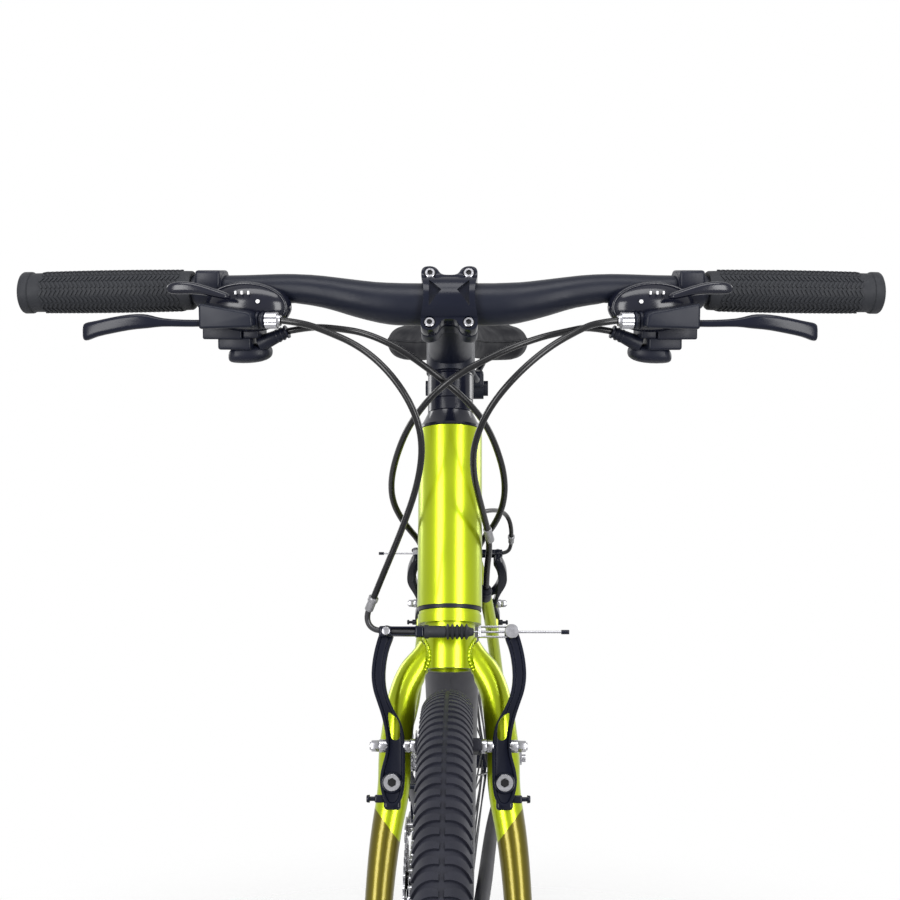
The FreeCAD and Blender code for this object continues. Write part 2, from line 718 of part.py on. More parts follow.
def make_axle(end, width, diameter, place):
    """A solid axle with a cone inside and a hexagon nut outside each dropout."""
    half = getattr(S, width) / 2
    overhang = S.dropout_thickness + 14.0
    nut_height = 9.0
    shaft = bound("Part::Cylinder", end + "_shaft", along_x(-half - overhang),
                  Radius="Sizes.%s / 2" % diameter,
                  Height="Sizes.%s + 2 * (Sizes.dropout_thickness + 14)" % width)
    pieces = [shaft]
    for name, x in (("left", half - CONE_LENGTH), ("right", -half)):
        spacer = bound("Part::Cylinder", "%s_cone_%s" % (end, name), along_x(x),
                       Radius="Sizes.%s / 2 + 3.5" % diameter)
        spacer.Height = CONE_LENGTH
        pieces.append(spacer)
    nut_gap = half + S.dropout_thickness
    for name, x in (("left", nut_gap), ("right", -nut_gap - nut_height)):
        nut = bound("Part::Prism", "%s_nut_%s" % (end, name), along_x(x),
                    Circumradius="Sizes.%s / 2 + 4" % diameter)
        nut.Polygon = 6
        nut.Height = nut_height
        pieces.append(nut)
    axle = DOC.addObject("Part::MultiFuse", end + "_axle")
    axle.Shapes = pieces
    axle.Placement = place
    keep(axle, end + "_axle")


def make_wheels():
    front_end = S.front_hub_width / 2 - CONE_LENGTH - S.side_gap
    front_bore = S.front_axle_dia / 2 + S.running_gap
    make_wheel("front", FRONT_FLANGES, -front_end, front_end, FRONT_AXLE, front_bore)
    rear_end = S.rear_hub_width / 2 - CONE_LENGTH - S.side_gap
    rear_bore = S.rear_axle_dia / 2 + S.running_gap
    make_wheel("rear", REAR_FLANGES, FREEWHEEL_INNER + S.side_gap, rear_end, REAR_AXLE, rear_bore)
    make_axle("front", "front_hub_width", "front_axle_dia", Placement(FRONT_AXLE, STEER_TURN))
    make_axle("rear", "rear_hub_width", "rear_axle_dia", Placement(REAR_AXLE, Rotation()))


COG_COUNT = 7
FREEWHEEL_INNER = -(S.chain_line - (COG_COUNT // 2) * S.cog_step) + 3.5


# Seatpost and saddle

POST_INSERTED = 105.0
POST_SHOWN = 106.0
CLAMP_AXIS = SEAT_TOP + SEAT_UP * (POST_SHOWN + 7.0)
RAIL_RISE = 12.0
SADDLE_TAIL = CLAMP_AXIS.y + S.saddle_setback


def rail_route():
    """One rail: from a socket under the nose, level through the clamp, up to the tail."""
    level = CLAMP_AXIS.z + RAIL_RISE
    half = S.rail_spread / 2
    nose = SADDLE_TAIL - S.saddle_length
    return [
        Vector(half - 13.0, nose + 34.0, level + 34.0),
        Vector(half - 8.0, nose + 54.0, level + 15.0),
        Vector(half, CLAMP_AXIS.y - 52.0, level),
        Vector(half, CLAMP_AXIS.y + 46.0, level + 0.5),
        Vector(half + 9.0, SADDLE_TAIL - 42.0, level + 14.0),
        Vector(half + 13.0, SADDLE_TAIL - 28.0, level + 34.0),
    ]


def saddle_section(y, width, crown_z, depth, arch):
    """One closed cross-section: crown on top, drawn-in sides, arched underside."""
    half = width / 2
    crown = 0.09 * width + 2.0
    base = crown_z - depth
    low_right = Vector(0.74 * half, y, base)
    side_right = Vector(half, y, base + 0.52 * depth)
    top_right = Vector(0.78 * half, y, crown_z - crown)
    top = Vector(0, y, crown_z)
    arch_top = Vector(0, y, base + arch)

    def flip(point):
        return Vector(-point.x, point.y, point.z)

    edges = [
        Part.Arc(flip(low_right), arch_top, low_right).toShape(),
        Part.Arc(low_right, side_right, top_right).toShape(),
        Part.Arc(top_right, top, flip(top_right)).toShape(),
        Part.Arc(flip(top_right), flip(side_right), flip(low_right)).toShape(),
    ]
    return Part.Wire(edges)


def saddle_solid():
    """Nose, waist and wings, from the nose back to the tail."""
    nose = SADDLE_TAIL - S.saddle_length
    widest = S.saddle_width
    top = CLAMP_AXIS.z + S.saddle_rise
    depth = S.saddle_depth
    stations = [
        (0.0, 24.0, top - 12.0, depth - 26.0, 1.0),
        (12.0, 36.0, top - 7.0, depth - 16.0, 2.0),
        (60.0, 44.0, top - 7.0, depth - 13.0, 3.0),
        (115.0, 62.0, top - 9.0, depth - 10.0, 5.0),
        (165.0, 0.64 * widest, top - 7.0, depth - 3.0, 9.0),
        (205.0, 0.92 * widest, top - 2.0, depth + 3.0, 14.0),
        (235.0, widest, top, depth + 5.0, 16.0),
        (255.0, 0.90 * widest, top - 2.0, depth, 14.0),
        (S.saddle_length, 0.70 * widest, top - 9.0, depth - 16.0, 9.0),
    ]
    sections = [saddle_section(nose + along, *rest) for along, *rest in stations]
    return Part.makeLoft(sections, True, False)


def make_seatpost_and_saddle():
    post_radius = S.seatpost_dia / 2
    bottom = SEAT_TOP - SEAT_UP * POST_INSERTED
    shoulder = SEAT_TOP + SEAT_UP * (POST_SHOWN - 22.0)
    post = rod(bottom, shoulder, post_radius, post_radius - 2.4)
    neck = cone(shoulder, SEAT_TOP + SEAT_UP * POST_SHOWN, post_radius, 11.0)
    clamp_half = S.rail_spread / 2 + 8.0
    barrel = across(CLAMP_AXIS, -clamp_half, clamp_half, 12.0)
    jaw_low = Vector(-clamp_half, CLAMP_AXIS.y - 20.0, CLAMP_AXIS.z + 2.0)
    jaw_high = Vector(clamp_half, CLAMP_AXIS.y + 20.0, CLAMP_AXIS.z + RAIL_RISE + 8.0)
    jaws = rounded_box(jaw_low, jaw_high, 4.0)
    nuts = []
    for side in (-1, 1):
        x = side * clamp_half
        nuts.append(across(CLAMP_AXIS, x, x + side * 5.0, 8.5))
    rail = cord("saddle rail", rail_route(), S.rail_dia / 2)
    rails = [rail, mirrored(rail)]
    head = fused([post, neck, barrel, jaws] + nuts).cut(rails[0]).cut(rails[1])
    add_shape("seatpost", Part.makeCompound([head] + rails))
    add_shape("saddle", saddle_solid().cut(rails[0]).cut(rails[1]))


# Fork

FORK_DROPOUT_MIDDLE = S.front_hub_width / 2 + S.dropout_thickness / 2
AXLE_LOCAL = Vector(0, -S.fork_rake, 0)
FORK_EYELET = AXLE_LOCAL + Vector(0, 19.0, 15.0)


def make_fork_steerer():
    """Steerer, crown flange with the lower race on it, and the open neck under the crown."""
    radius = S.steerer_dia / 2
    neck_base = CROWN_TOP - S.neck_height
    flange_base = CROWN_TOP - S.crown_height
    race_top = CROWN_TOP + 3.0 - S.side_gap
    steerer_top = STEM_BASE + S.stem_clamp_height - 2.0
    shapes = [
        rod(Vector(0, 0, neck_base), Vector(0, 0, steerer_top), radius),
        rod(Vector(0, 0, neck_base), Vector(0, 0, flange_base), S.neck_dia / 2),
        rod(Vector(0, 0, flange_base), Vector(0, 0, CROWN_TOP), S.crown_dia / 2),
        rod(Vector(0, 0, CROWN_TOP), Vector(0, 0, race_top), HEAD_RADIUS - 1.4),
    ]
    fork = fused(shapes)
    fork = fork.cut(rod(Vector(0, 0, neck_base), Vector(0, 0, flange_base - 4.0), S.neck_bore / 2))
    fork = fork.cut(rod(Vector(0, 0, neck_base), Vector(0, 0, steerer_top), S.steerer_bore / 2))
    add_shape("fork_steerer", fork, STEERING)


def make_fork_blades():
    """Two blades curving out of the neck, flaring past the brake studs, raked at the foot."""
    radius = S.blade_dia / 2
    boss_x = S.boss_spacing / 2
    foot_x = FORK_DROPOUT_MIDDLE
    tip = S.blade_tip_dia / 2
    route = [
        (S.neck_dia / 2 - 4.0, 0.0, CROWN_TOP - 27.0, radius - 2.0),
        (S.neck_dia / 2 + 8.5, 0.0, CROWN_TOP - 44.0, radius - 1.6),
        (boss_x - 7.0, 0.0, CROWN_TOP - 59.0, radius - 1.3),
        (boss_x - 3.0, 0.0, CROWN_TOP - 82.0, radius - 0.6),
        (boss_x - 0.5, 0.0, CROWN_TOP - 106.0, radius - 0.2),
        (boss_x, 0.0, S.boss_height, radius - 0.2),
        (boss_x + 4.0, 0.0, S.boss_height - 27.0, radius - 0.9),
        (foot_x - 2.0, -1.0, S.boss_height - 75.0, radius - 1.9),
        (foot_x + 0.6, -8.0, S.boss_height - 140.0, radius - 3.0),
        (foot_x + 0.3, -0.5 * S.fork_rake, 74.0, tip + 0.7),
        (foot_x, -0.92 * S.fork_rake, 16.0, tip - 0.5),
    ]
    points = [Vector(x, y, z) for x, y, z, size in route]
    blade = tapered_tube(points, [size for x, y, z, size in route], Y_AXIS, 22)
    neck = rod(Vector(0, 0, CROWN_TOP - 2 * S.neck_height), Vector(0, 0, CROWN_TOP), S.neck_dia / 2)
    x_inner = S.front_hub_width / 2
    x_outer = x_inner + S.dropout_thickness
    plate_radius = 14.0
    plate = side_plate([AXLE_LOCAL + Vector(0, 4.0, 30.0), AXLE_LOCAL], [7.0, plate_radius],
                       S.dropout_thickness, FORK_DROPOUT_MIDDLE)
    eyelet_plate = side_plate([AXLE_LOCAL, FORK_EYELET], [plate_radius, EYELET_RADIUS],
                              S.dropout_thickness, FORK_DROPOUT_MIDDLE)
    slot = axle_slot(AXLE_LOCAL, S.front_axle_dia / 2, plate_radius + 1.0, x_inner - 1.0, x_outer + 1.0)
    eyelet = across(FORK_EYELET, x_inner - 1.0, x_outer + 1.0, S.eyelet_hole_dia / 2)
    left = fused([blade.cut(neck), brake_studs(), plate, eyelet_plate]).cut(slot).cut(eyelet)
    add_shape("fork_blades", pair(left), STEERING)


# Headset cover, spacers, stem and bar

BAR_RADIUS = S.bar_clamp_dia / 2
GRIP_BAR_RADIUS = S.bar_grip_dia / 2
BEND_END = 115.0
BEND_END_SWEEP = 8.5
BAR_FALL = 0.016
CAP_HEIGHT = 4.5
CAP_LIP = 3.5


def make_headset_spacers():
    """A conical cover, three spacers and the top cap round the steerer."""
    bore = S.steerer_dia / 2
    hole = rod(Vector(0, 0, CROWN_TOP), Vector(0, 0, STEM_BASE + S.stem_clamp_height), bore)
    base = HEAD_TOP + S.side_gap
    cover = cone(Vector(0, 0, base), Vector(0, 0, SPACER_BASE), HEAD_RADIUS - 0.5, S.spacer_dia / 2)
    rings = [cover.cut(hole)]
    low = SPACER_BASE
    for height in (S.short_spacer, S.tall_spacer, S.thin_spacer):
        rings.append(rod(Vector(0, 0, low), Vector(0, 0, low + height), S.spacer_dia / 2, bore))
        low += height
    cap_base = STEM_BASE + S.stem_clamp_height
    cap = rod(Vector(0, 0, cap_base), Vector(0, 0, cap_base + CAP_HEIGHT), bore + CAP_LIP)
    rings.append(cap)
    add_shape("headset_spacers", Part.makeCompound(rings), STEERING)


def bar_point(x):
    """A point of the bar's straight outer stretch."""
    beyond = x - BEND_END
    sweep = math.tan(math.radians(S.bar_sweep))
    return Vector(x, BEND_END_SWEEP + beyond * sweep, S.bar_rise - beyond * BAR_FALL)


def bar_solid(shrink=0.0):
    """The riser bar, thick at the clamp and slim at the grips."""
    half = [
        (Vector(20.0, 0, 0), BAR_RADIUS),
        (Vector(42.0, 0.2, 0.4), BAR_RADIUS),
        (Vector(64.0, 1.6, 3.4), BAR_RADIUS - 1.6),
        (Vector(90.0, 4.8, 8.6), GRIP_BAR_RADIUS + 1.0),
        (bar_point(BEND_END), GRIP_BAR_RADIUS),
    ]
    reach = S.bar_width / 2
    straight = reach - BEND_END
    half += [(bar_point(BEND_END + part * straight), GRIP_BAR_RADIUS) for part in (0.16, 0.33, 0.65, 1.0)]
    left = [(Vector(-point.x, point.y, point.z), radius) for point, radius in reversed(half)]
    stations = left + half
    points = [point for point, radius in stations]
    radii = [radius - shrink for point, radius in stations]
    return tapered_tube(points, radii, Z_AXIS, 60)


BAR_SOLID = bar_solid()


def make_handlebar():
    add_shape("handlebar", BAR_SOLID.cut(bar_solid(S.bar_wall)), BAR)


def make_grips():
    """A slightly swelling sleeve with a raised collar and an end plug."""
    start = S.bar_width / 2 - S.grip_length
    end = S.bar_width / 2
    radius = S.grip_dia / 2
    stops = (start, start + 8.0, start + 0.5 * S.grip_length, end - 10.0, end - 9.0, end)
    swell = (radius - 1.5, radius - 0.3, radius, radius - 0.6, radius + 0.2, radius + 0.2)
    pieces = []
    for x_from, x_to, r_from, r_to in zip(stops, stops[1:], swell, swell[1:]):
        pieces.append(cone(bar_point(x_from), bar_point(x_to), r_from, r_to))
    pieces.append(cone(bar_point(end), bar_point(end + S.plug_length), radius - 0.4, radius - 2.4))
    sleeve = fused(pieces).cut(BAR_SOLID)
    add_shape("grips", pair(sleeve), BAR)


BOLT_X = 14.5
BOLT_RISE = 4.2
BOLT_RADIUS = 2.5
BOLT_HEAD_RADIUS = 3.9
CLAMP_SPLIT = 1.0


def stem_to_steering(shape):
    """Move a shape from the stem frame to the steering frame."""
    shape.Placement = Placement(BAR_LOCAL, Rotation(X_AXIS, -S.stem_rise)).multiply(shape.Placement)
    return shape


def bar_in(frame):
    """The bar's outer form, in a frame of the steering."""
    bar = BAR_SOLID.copy()
    bar.Placement = frame.inverse().multiply(BAR)
    return bar


def faceplate_bolts():
    """Four socket bolts that close the bar clamp, in the stem frame."""
    bolts = []
    height = BAR_RADIUS + BOLT_RISE
    for x in (-BOLT_X, BOLT_X):
        for z in (-height, height):
            head = rod(Vector(x, -13.5, z), Vector(x, -9.0, z), BOLT_HEAD_RADIUS)
            shank = rod(Vector(x, -9.0, z), Vector(x, 12.0, z), BOLT_RADIUS)
            socket = rod(Vector(x, -13.5, z), Vector(x, -11.0, z), 2.0)
            bolts.append(fused([head, shank]).cut(socket))
    return bolts


def clamp_bolts():
    """Two cross bolts behind the steerer, in the steering frame."""
    bolts = []
    y = S.steerer_dia / 2 + S.stem_wall + 5.0
    for z in (STEM_BASE + 9.0, STEM_BASE + S.stem_clamp_height - 9.0):
        head = rod(Vector(12.0, y, z), Vector(16.5, y, z), BOLT_HEAD_RADIUS)
        shank = rod(Vector(-10.0, y, z), Vector(12.0, y, z), BOLT_RADIUS)
        bolts.append(fused([head, shank]))
    return bolts


def clamp_profile(points, width):
    """Pad a (Y, Z) outline along X, centred."""
    corners = [Vector(-width / 2, y, z) for y, z in points]
    face = Part.Face(Part.makePolygon(corners + corners[:1]))
    return face.extrude(X_AXIS * width)


def make_stem():
    wall = S.stem_wall
    ear = BAR_RADIUS + BOLT_RISE + 4.5
    width = S.faceplate_width
    radius = BAR_RADIUS + wall
    rear = [(CLAMP_SPLIT, ear), (9.0, ear), (13.0, radius - 4.0), (radius, 8.0), (radius, -8.0),
            (13.0, -radius + 4.0), (9.0, -ear), (CLAMP_SPLIT, -ear)]
    jaw = stem_to_steering(clamp_profile(rear, width))
    outer = S.steerer_dia / 2 + wall
    base = Vector(0, 0, STEM_BASE)
    top = Vector(0, 0, STEM_BASE + S.stem_clamp_height)
    collar = rod(base, top, outer)
    middle = Vector(0, 0, STEM_MIDDLE)
    arm_end = BAR_LOCAL + (middle - BAR_LOCAL).normalize() * (BAR_RADIUS * 0.6)
    arm = cone(middle, arm_end, S.stem_clamp_height / 2 - 1.5, BAR_RADIUS + wall - 1.5)
    ears = Part.makeBox(24.0, outer + 10.0, S.stem_clamp_height, Vector(-12.0, 0, STEM_BASE))
    slit = Part.makeBox(2.0, outer + 12.0, S.stem_clamp_height, Vector(-1.0, 0, STEM_BASE))
    stem = fused([collar, jaw, arm, ears]).cut(slit).cut(rod(base, top, S.steerer_dia / 2))
    front = Part.makeBox(2 * width, 80.0, 120.0, Vector(-width, -80.0 + CLAMP_SPLIT, -60.0))
    stem = stem.cut(stem_to_steering(front))
    cap_room = rod(top, top + Z_AXIS * 14.0, S.steerer_dia / 2 + CAP_LIP + 0.6)
    stem = stem.cut(cap_room).cut(bar_in(STEERING))
    for bolt in clamp_bolts():
        stem = stem.cut(bolt)
    for bolt in faceplate_bolts():
        stem = stem.cut(stem_to_steering(bolt))
    add_shape("stem", stem, STEERING)


def make_stem_faceplate():
    """The front half of the bar clamp: four ears, a dip between the top ears, two pockets."""
    wall = S.stem_wall
    radius = BAR_RADIUS + wall
    ear = BAR_RADIUS + BOLT_RISE + 4.5
    width = S.faceplate_width
    front = [(-CLAMP_SPLIT, ear), (-9.0, ear), (-13.0, radius - 5.0), (-radius - 0.5, 8.5),
             (-radius - 0.5, -8.5), (-13.0, -radius + 5.0), (-9.0, -ear), (-CLAMP_SPLIT, -ear)]
    plate = clamp_profile(front, width)
    plate = plate.cut(bar_in(STEM))
    for z in (ear, -ear):
        dip = rod(Vector(0, -20.0, z), Vector(0, 20.0, z), BOLT_X - BOLT_HEAD_RADIUS - 2.5)
        plate = plate.cut(dip)
    for side in (-1, 1):
        corners = [Vector(side * x, -40.0, z) for x, z in ((15.5, 11.0), (6.0, 2.0), (15.5, -8.0))]
        face = Part.Face(Part.makePolygon(corners + corners[:1]))
        plate = plate.cut(face.extrude(Vector(0, 40.0 - radius + 2.4, 0)))
    for bolt in faceplate_bolts():
        plate = plate.cut(bolt)
    add_shape("stem_faceplate", plate.removeSplitter(), STEM)


def hex_head(centre, axis, across_flats, height):
    """A hexagon head whose base centre and axis are given."""
    corner = across_flats / math.sqrt(3)
    angles = [math.radians(60 * step) for step in range(7)]
    outline = Part.makePolygon([Vector(corner * math.cos(a), corner * math.sin(a), 0) for a in angles])
    head = Part.Face(outline).extrude(Vector(0, 0, height))
    head.Placement = Placement(centre, Rotation(Z_AXIS, axis))
    return head


def pivot_bolts():
    """The bolts that keep the brake arms on their studs, in a brake's own frame."""
    bolts = []
    start = -(S.brake_plane + S.brake_arm_thickness / 2 + S.side_gap)
    for side in (-1, 1):
        foot = Vector(side * S.boss_spacing / 2, start, S.boss_height)
        washer = rod(foot, foot - Y_AXIS * 1.5, S.boss_dia / 2 + 2.5)
        bolts.append(fused([washer, hex_head(foot - Y_AXIS * 1.5, Y_AXIS * -1.0, 8.0, 3.5)]))
    return bolts


def make_steering_bolts():
    """Stem bolts, the cap bolt and the front brake's pivot bolts."""
    cap_top = STEM_BASE + S.stem_clamp_height + CAP_HEIGHT
    cap_bolt = rod(Vector(0, 0, cap_top), Vector(0, 0, cap_top + 3.0), 4.5)
    bolts = clamp_bolts() + [cap_bolt] + pivot_bolts()
    bolts += [stem_to_steering(bolt) for bolt in faceplate_bolts()]
    add_shape("steering_bolts", Part.makeCompound(bolts), STEERING)


# Hand controls
# Control frame: on the bar's axis, +X outwards along the grip, -Y forward, Z up.
# The left control is modelled and the right one is its mirror image.

CONTROL_OFFSET = S.bar_width / 2 - S.grip_length - S.control_gap
CONTROL = Placement(bar_point(CONTROL_OFFSET), Rotation(Z_AXIS, S.bar_sweep))
LEVER_PIVOT = Vector(-4.0, -30.0, -22.5)
LEVER_THICKNESS = 9.5
LEVER_PIN_RADIUS = 3.0
TRIGGER_PIVOT = Vector(-12.0, -38.0, -1.0)
TRIGGER_THICKNESS = 9.4
THUMB_PIVOT = Vector(-8.0, 0.0, -52.4)
THUMB_THICKNESS = 8.0
SMALL_PIN_RADIUS = 2.5
BARREL_AXIS = Vector(0.0, -30.0, -22.0)
BARREL_START = -43.0
BARREL_END = -55.0
EXIT_START = Vector(-34.0, 0.0, -40.0)
EXIT_END = Vector(-52.0, 0.0, -31.0)


def on_bar(shape):
    """Move a shape from the control frame to the bar frame."""
    shape.Placement = CONTROL.multiply(shape.Placement)
    return shape


def upright_pin(point, z_from, z_to, radius):
    return rod(Vector(point.x, point.y, z_from), Vector(point.x, point.y, z_to), radius)


def bracket_solid():
    """The brake lever's bracket: a tapering block, slotted for the lever, with its pins."""
    near = -14.0
    far = -44.0
    corners = [Vector(x, far, z) for x, z in ((5.0, -8.5), (-36.0, -15.0), (-36.0, -28.0), (5.0, -32.0))]
    block = Part.Face(Part.makePolygon(corners + corners[:1])).extrude(Vector(0, near - far, 0))
    block = block.makeFillet(2.0, block.Edges)
    slot_half = LEVER_THICKNESS / 2 + 0.75
    low = Vector(LEVER_PIVOT.x - 10.0, far - 1.0, LEVER_PIVOT.z - slot_half)
    slot = Part.makeBox(30.0, 26.0, 2 * slot_half, low)
    lever_pin = upright_pin(LEVER_PIVOT, -31.5, -10.5, LEVER_PIN_RADIUS)
    trigger_pin = upright_pin(TRIGGER_PIVOT, -13.5, TRIGGER_PIVOT.z + 4.0, SMALL_PIN_RADIUS)
    seat_from = Vector(-26.0, BARREL_AXIS.y, BARREL_AXIS.z)
    seat_to = Vector(BARREL_START, BARREL_AXIS.y, BARREL_AXIS.z)
    return fused([block.cut(slot), lever_pin, trigger_pin, rod(seat_from, seat_to, 5.4)])


def shifter_solid():
    """Clamp band, gear display dome, lower housing with the cable exit, and the thumb pin."""
    band = rod(Vector(-5.0, 0, 0), Vector(17.0, 0, 0), 17.0)
    dome = rounded_box(Vector(-58.0, -28.0, -14.0), Vector(9.0, -10.0, 7.0), 8.0)
    neck = Part.makeBox(24.0, 24.0, 28.0, Vector(-14.0, -12.0, -36.0))
    upper = rounded_box(Vector(-30.0, -13.5, -38.0), Vector(11.0, 14.0, -28.0), 3.0)
    lower = rounded_box(Vector(-37.0, -12.0, -48.0), Vector(-2.0, 13.0, -33.0), 3.0)
    cable_exit = cone(EXIT_START, EXIT_END, 5.2, 3.6)
    thumb_pin = upright_pin(THUMB_PIVOT, -46.0, THUMB_PIVOT.z - 3.0, SMALL_PIN_RADIUS)
    return fused([band, dome, neck, upper, lower, cable_exit, thumb_pin]).cut(bracket_solid())


def brake_lever_solid():
    """A blade that leaves the bracket forwards, bows along the grip and ends in a dropped knob."""
    z = LEVER_PIVOT.z
    route = [(LEVER_PIVOT.x, LEVER_PIVOT.y, 8.0), (14.0, -36.5, 7.0), (36.0, -43.0, 5.8),
             (50.0, -45.5, 6.3), (77.0, -46.0, 5.4)]
    blade = link_chain([Vector(x, y, 0) for x, y, size in route], [size for x, y, size in route],
                       LEVER_THICKNESS)
    blade.translate(Vector(0, 0, z))
    neck_from = Vector(73.0, -46.0, z)
    tip = Vector(88.0, -43.5, z - 8.0)
    knob = Part.makeSphere(5.6, tip)
    lever = fused([blade, cone(neck_from, tip, 4.7, 5.5), knob])
    return lever.cut(upright_pin(LEVER_PIVOT, z - 20.0, z + 20.0, LEVER_PIN_RADIUS + S.running_gap))


def trigger_solid():
    root = Vector(TRIGGER_PIVOT.x, TRIGGER_PIVOT.y, 0)
    plate = capsule_plate(root, 6.0, Vector(25.0, -39.0, 0), 4.7, TRIGGER_THICKNESS)
    plate.translate(Vector(0, 0, TRIGGER_PIVOT.z))
    return plate.cut(upright_pin(TRIGGER_PIVOT, -20.0, 20.0, SMALL_PIN_RADIUS + S.running_gap))


def thumb_lever_solid():
    root = Vector(THUMB_PIVOT.x, THUMB_PIVOT.y, 0)
    plate = capsule_plate(root, 7.0, Vector(-29.0, 8.0, 0), 11.0, THUMB_THICKNESS)
    plate.translate(Vector(0, 0, THUMB_PIVOT.z))
    return plate.cut(upright_pin(THUMB_PIVOT, -80.0, -20.0, SMALL_PIN_RADIUS + S.running_gap))


def barrel_solid():
    """The knurled cable adjuster that screws into the bracket."""
    y = BARREL_AXIS.y
    z = BARREL_AXIS.z
    knurl_end = BARREL_END + 3.0
    knurl = rod(Vector(BARREL_START, y, z), Vector(knurl_end, y, z), 6.6)
    nose = rod(Vector(knurl_end, y, z), Vector(BARREL_END, y, z), 5.0)
    return fused([knurl, nose])


def make_controls():
    add_shape("shifter_bodies", pair(on_bar(shifter_solid()).cut(BAR_SOLID)), BAR)
    add_shape("lever_brackets", pair(on_bar(bracket_solid())), BAR)
    add_shape("barrel_adjusters", pair(on_bar(barrel_solid())), BAR)
    moving = (("brake_lever", brake_lever_solid()), ("shift_trigger", trigger_solid()),
              ("thumb_lever", thumb_lever_solid()))
    for name, solid in moving:
        left = on_bar(solid)
        add_shape("left_" + name, left, BAR)
        add_shape("right_" + name, mirrored(left), BAR)


# Rim brakes
# Brake frame: X across the wheel, -Y away from the blades, Z from the axle past the studs.

STUD_X = S.boss_spacing / 2
ARM_TOP_X = STUD_X + 5.5
ARM_TOP_Z = S.boss_height + S.brake_arm_length
PAD_Z = S.boss_height + S.pad_height
ARM_FACE = -(S.brake_plane + S.brake_arm_thickness / 2)
CABLE_Y = ARM_FACE - 5.2
POST_RADIUS = 3.0
ARM_LEAN = 1.9
NOODLE_BEND = Vector(-ARM_TOP_X - 15.0, CABLE_Y - 3.5, ARM_TOP_Z + 11.0)
FRONT_NOODLE_UP = Vector(0.351, -0.573, 0.741).normalize()
REAR_NOODLE_UP = Vector(0, 0, 1)
NOODLE_LEG = 6.0
NOODLE_FERRULE = 11.0


def in_brake_plane(flat):
    """Stand a flat link, drawn as (across, height), upright in the plane of the arms."""
    flat.Placement = Placement(Vector(0, -S.brake_plane, 0), Rotation(X_AXIS, 90.0))
    return flat


def brake_arm_solid():
    """A forged arm that bows outwards, with a window, its spring housing and adjusting screw."""
    route = [
        (STUD_X - 1.0, S.boss_height - 12.0, 6.5),
        (STUD_X, S.boss_height, 9.5),
        (STUD_X + 4.5, PAD_Z, 9.0),
        (STUD_X + 8.5, PAD_Z + 32.0, 6.6),
        (STUD_X + 7.5, ARM_TOP_Z - 24.0, 6.0),
        (ARM_TOP_X, ARM_TOP_Z, 5.8),
    ]
    arm = link_chain([Vector(x, z, 0) for x, z, size in route], [size for x, z, size in route],
                     S.brake_arm_thickness)
    window = capsule_plate(Vector(STUD_X + 5.6, PAD_Z + 9.0, 0), 3.4,
                           Vector(STUD_X + 7.6, PAD_Z + 25.0, 0), 3.2, 2 * S.brake_arm_thickness)
    arm = in_brake_plane(arm.cut(window))
    bore = S.boss_dia / 2 + S.running_gap
    hole = rod(Vector(STUD_X, 0, S.boss_height), Vector(STUD_X, 2 * ARM_FACE, S.boss_height), bore)
    screw_z = S.boss_height - 11.5
    screw = rod(Vector(STUD_X, -S.brake_plane, screw_z), Vector(STUD_X + 18.0, -S.brake_plane, screw_z), 2.2)
    post = rod(Vector(0, -S.brake_plane, PAD_Z), Vector(2 * STUD_X, -S.brake_plane, PAD_Z), POST_RADIUS)
    return fused([arm, screw]).cut(hole).cut(post)


def arm_head(length, radius):
    """A round boss on the outer face of an arm's top."""
    top = Vector(ARM_TOP_X, ARM_FACE, ARM_TOP_Z)
    return rod(top + Y_AXIS, top - Y_AXIS * length, radius)


def brake_pad_solids():
    """A long rubber shoe on a threaded post, with its spacers and outer nut."""
    face = S.rim_width / 2 + S.pad_gap
    back = face + 9.0
    y = -S.brake_plane
    shoe = rounded_box(Vector(face, y - 24.0, PAD_Z - 5.0), Vector(back, y + 32.0, PAD_Z + 5.0), 2.0)
    arm_inner = STUD_X + 4.5 - 9.0
    arm_outer = STUD_X + 4.5 + 9.0
    post_end = arm_outer + 7.5
    post = rod(Vector(back, y, PAD_Z), Vector(post_end, y, PAD_Z), POST_RADIUS)
    inner = rod(Vector(arm_inner - 6.5, y, PAD_Z), Vector(arm_inner - ARM_LEAN, y, PAD_Z), 6.8)
    outer = rod(Vector(arm_outer + S.side_gap, y, PAD_Z), Vector(arm_outer + 2.6, y, PAD_Z), 6.4)
    nut = hex_head(Vector(arm_outer + 2.6, y, PAD_Z), X_AXIS, 9.0, 4.0)
    return Part.makeCompound([shoe, fused([post, inner, outer, nut])])


BOOT_RIBS = 8


def boot_solid(x_from, x_to, y, z):
    """The ribbed rubber bellows on the cross wire."""
    crest = 6.3
    valley = 4.4
    pitch = (x_to - x_from) / BOOT_RIBS
    wires = []
    for rib in range(BOOT_RIBS):
        for share, radius in ((0.0, valley), (0.3, crest), (0.55, crest), (0.85, valley)):
            centre = Vector(x_from + pitch * (rib + share), y, z)
            circle = Part.Circle(centre, X_AXIS, radius)
            circle.XAxis = Y_AXIS
            wires.append(Part.Wire(circle.toShape()))
    return Part.makeLoft(wires, True, True)


def noodle_top(up):
    """Where the housing meets the noodle, for the direction of the noodle's end."""
    return NOODLE_BEND + up * (NOODLE_LEG + NOODLE_FERRULE)


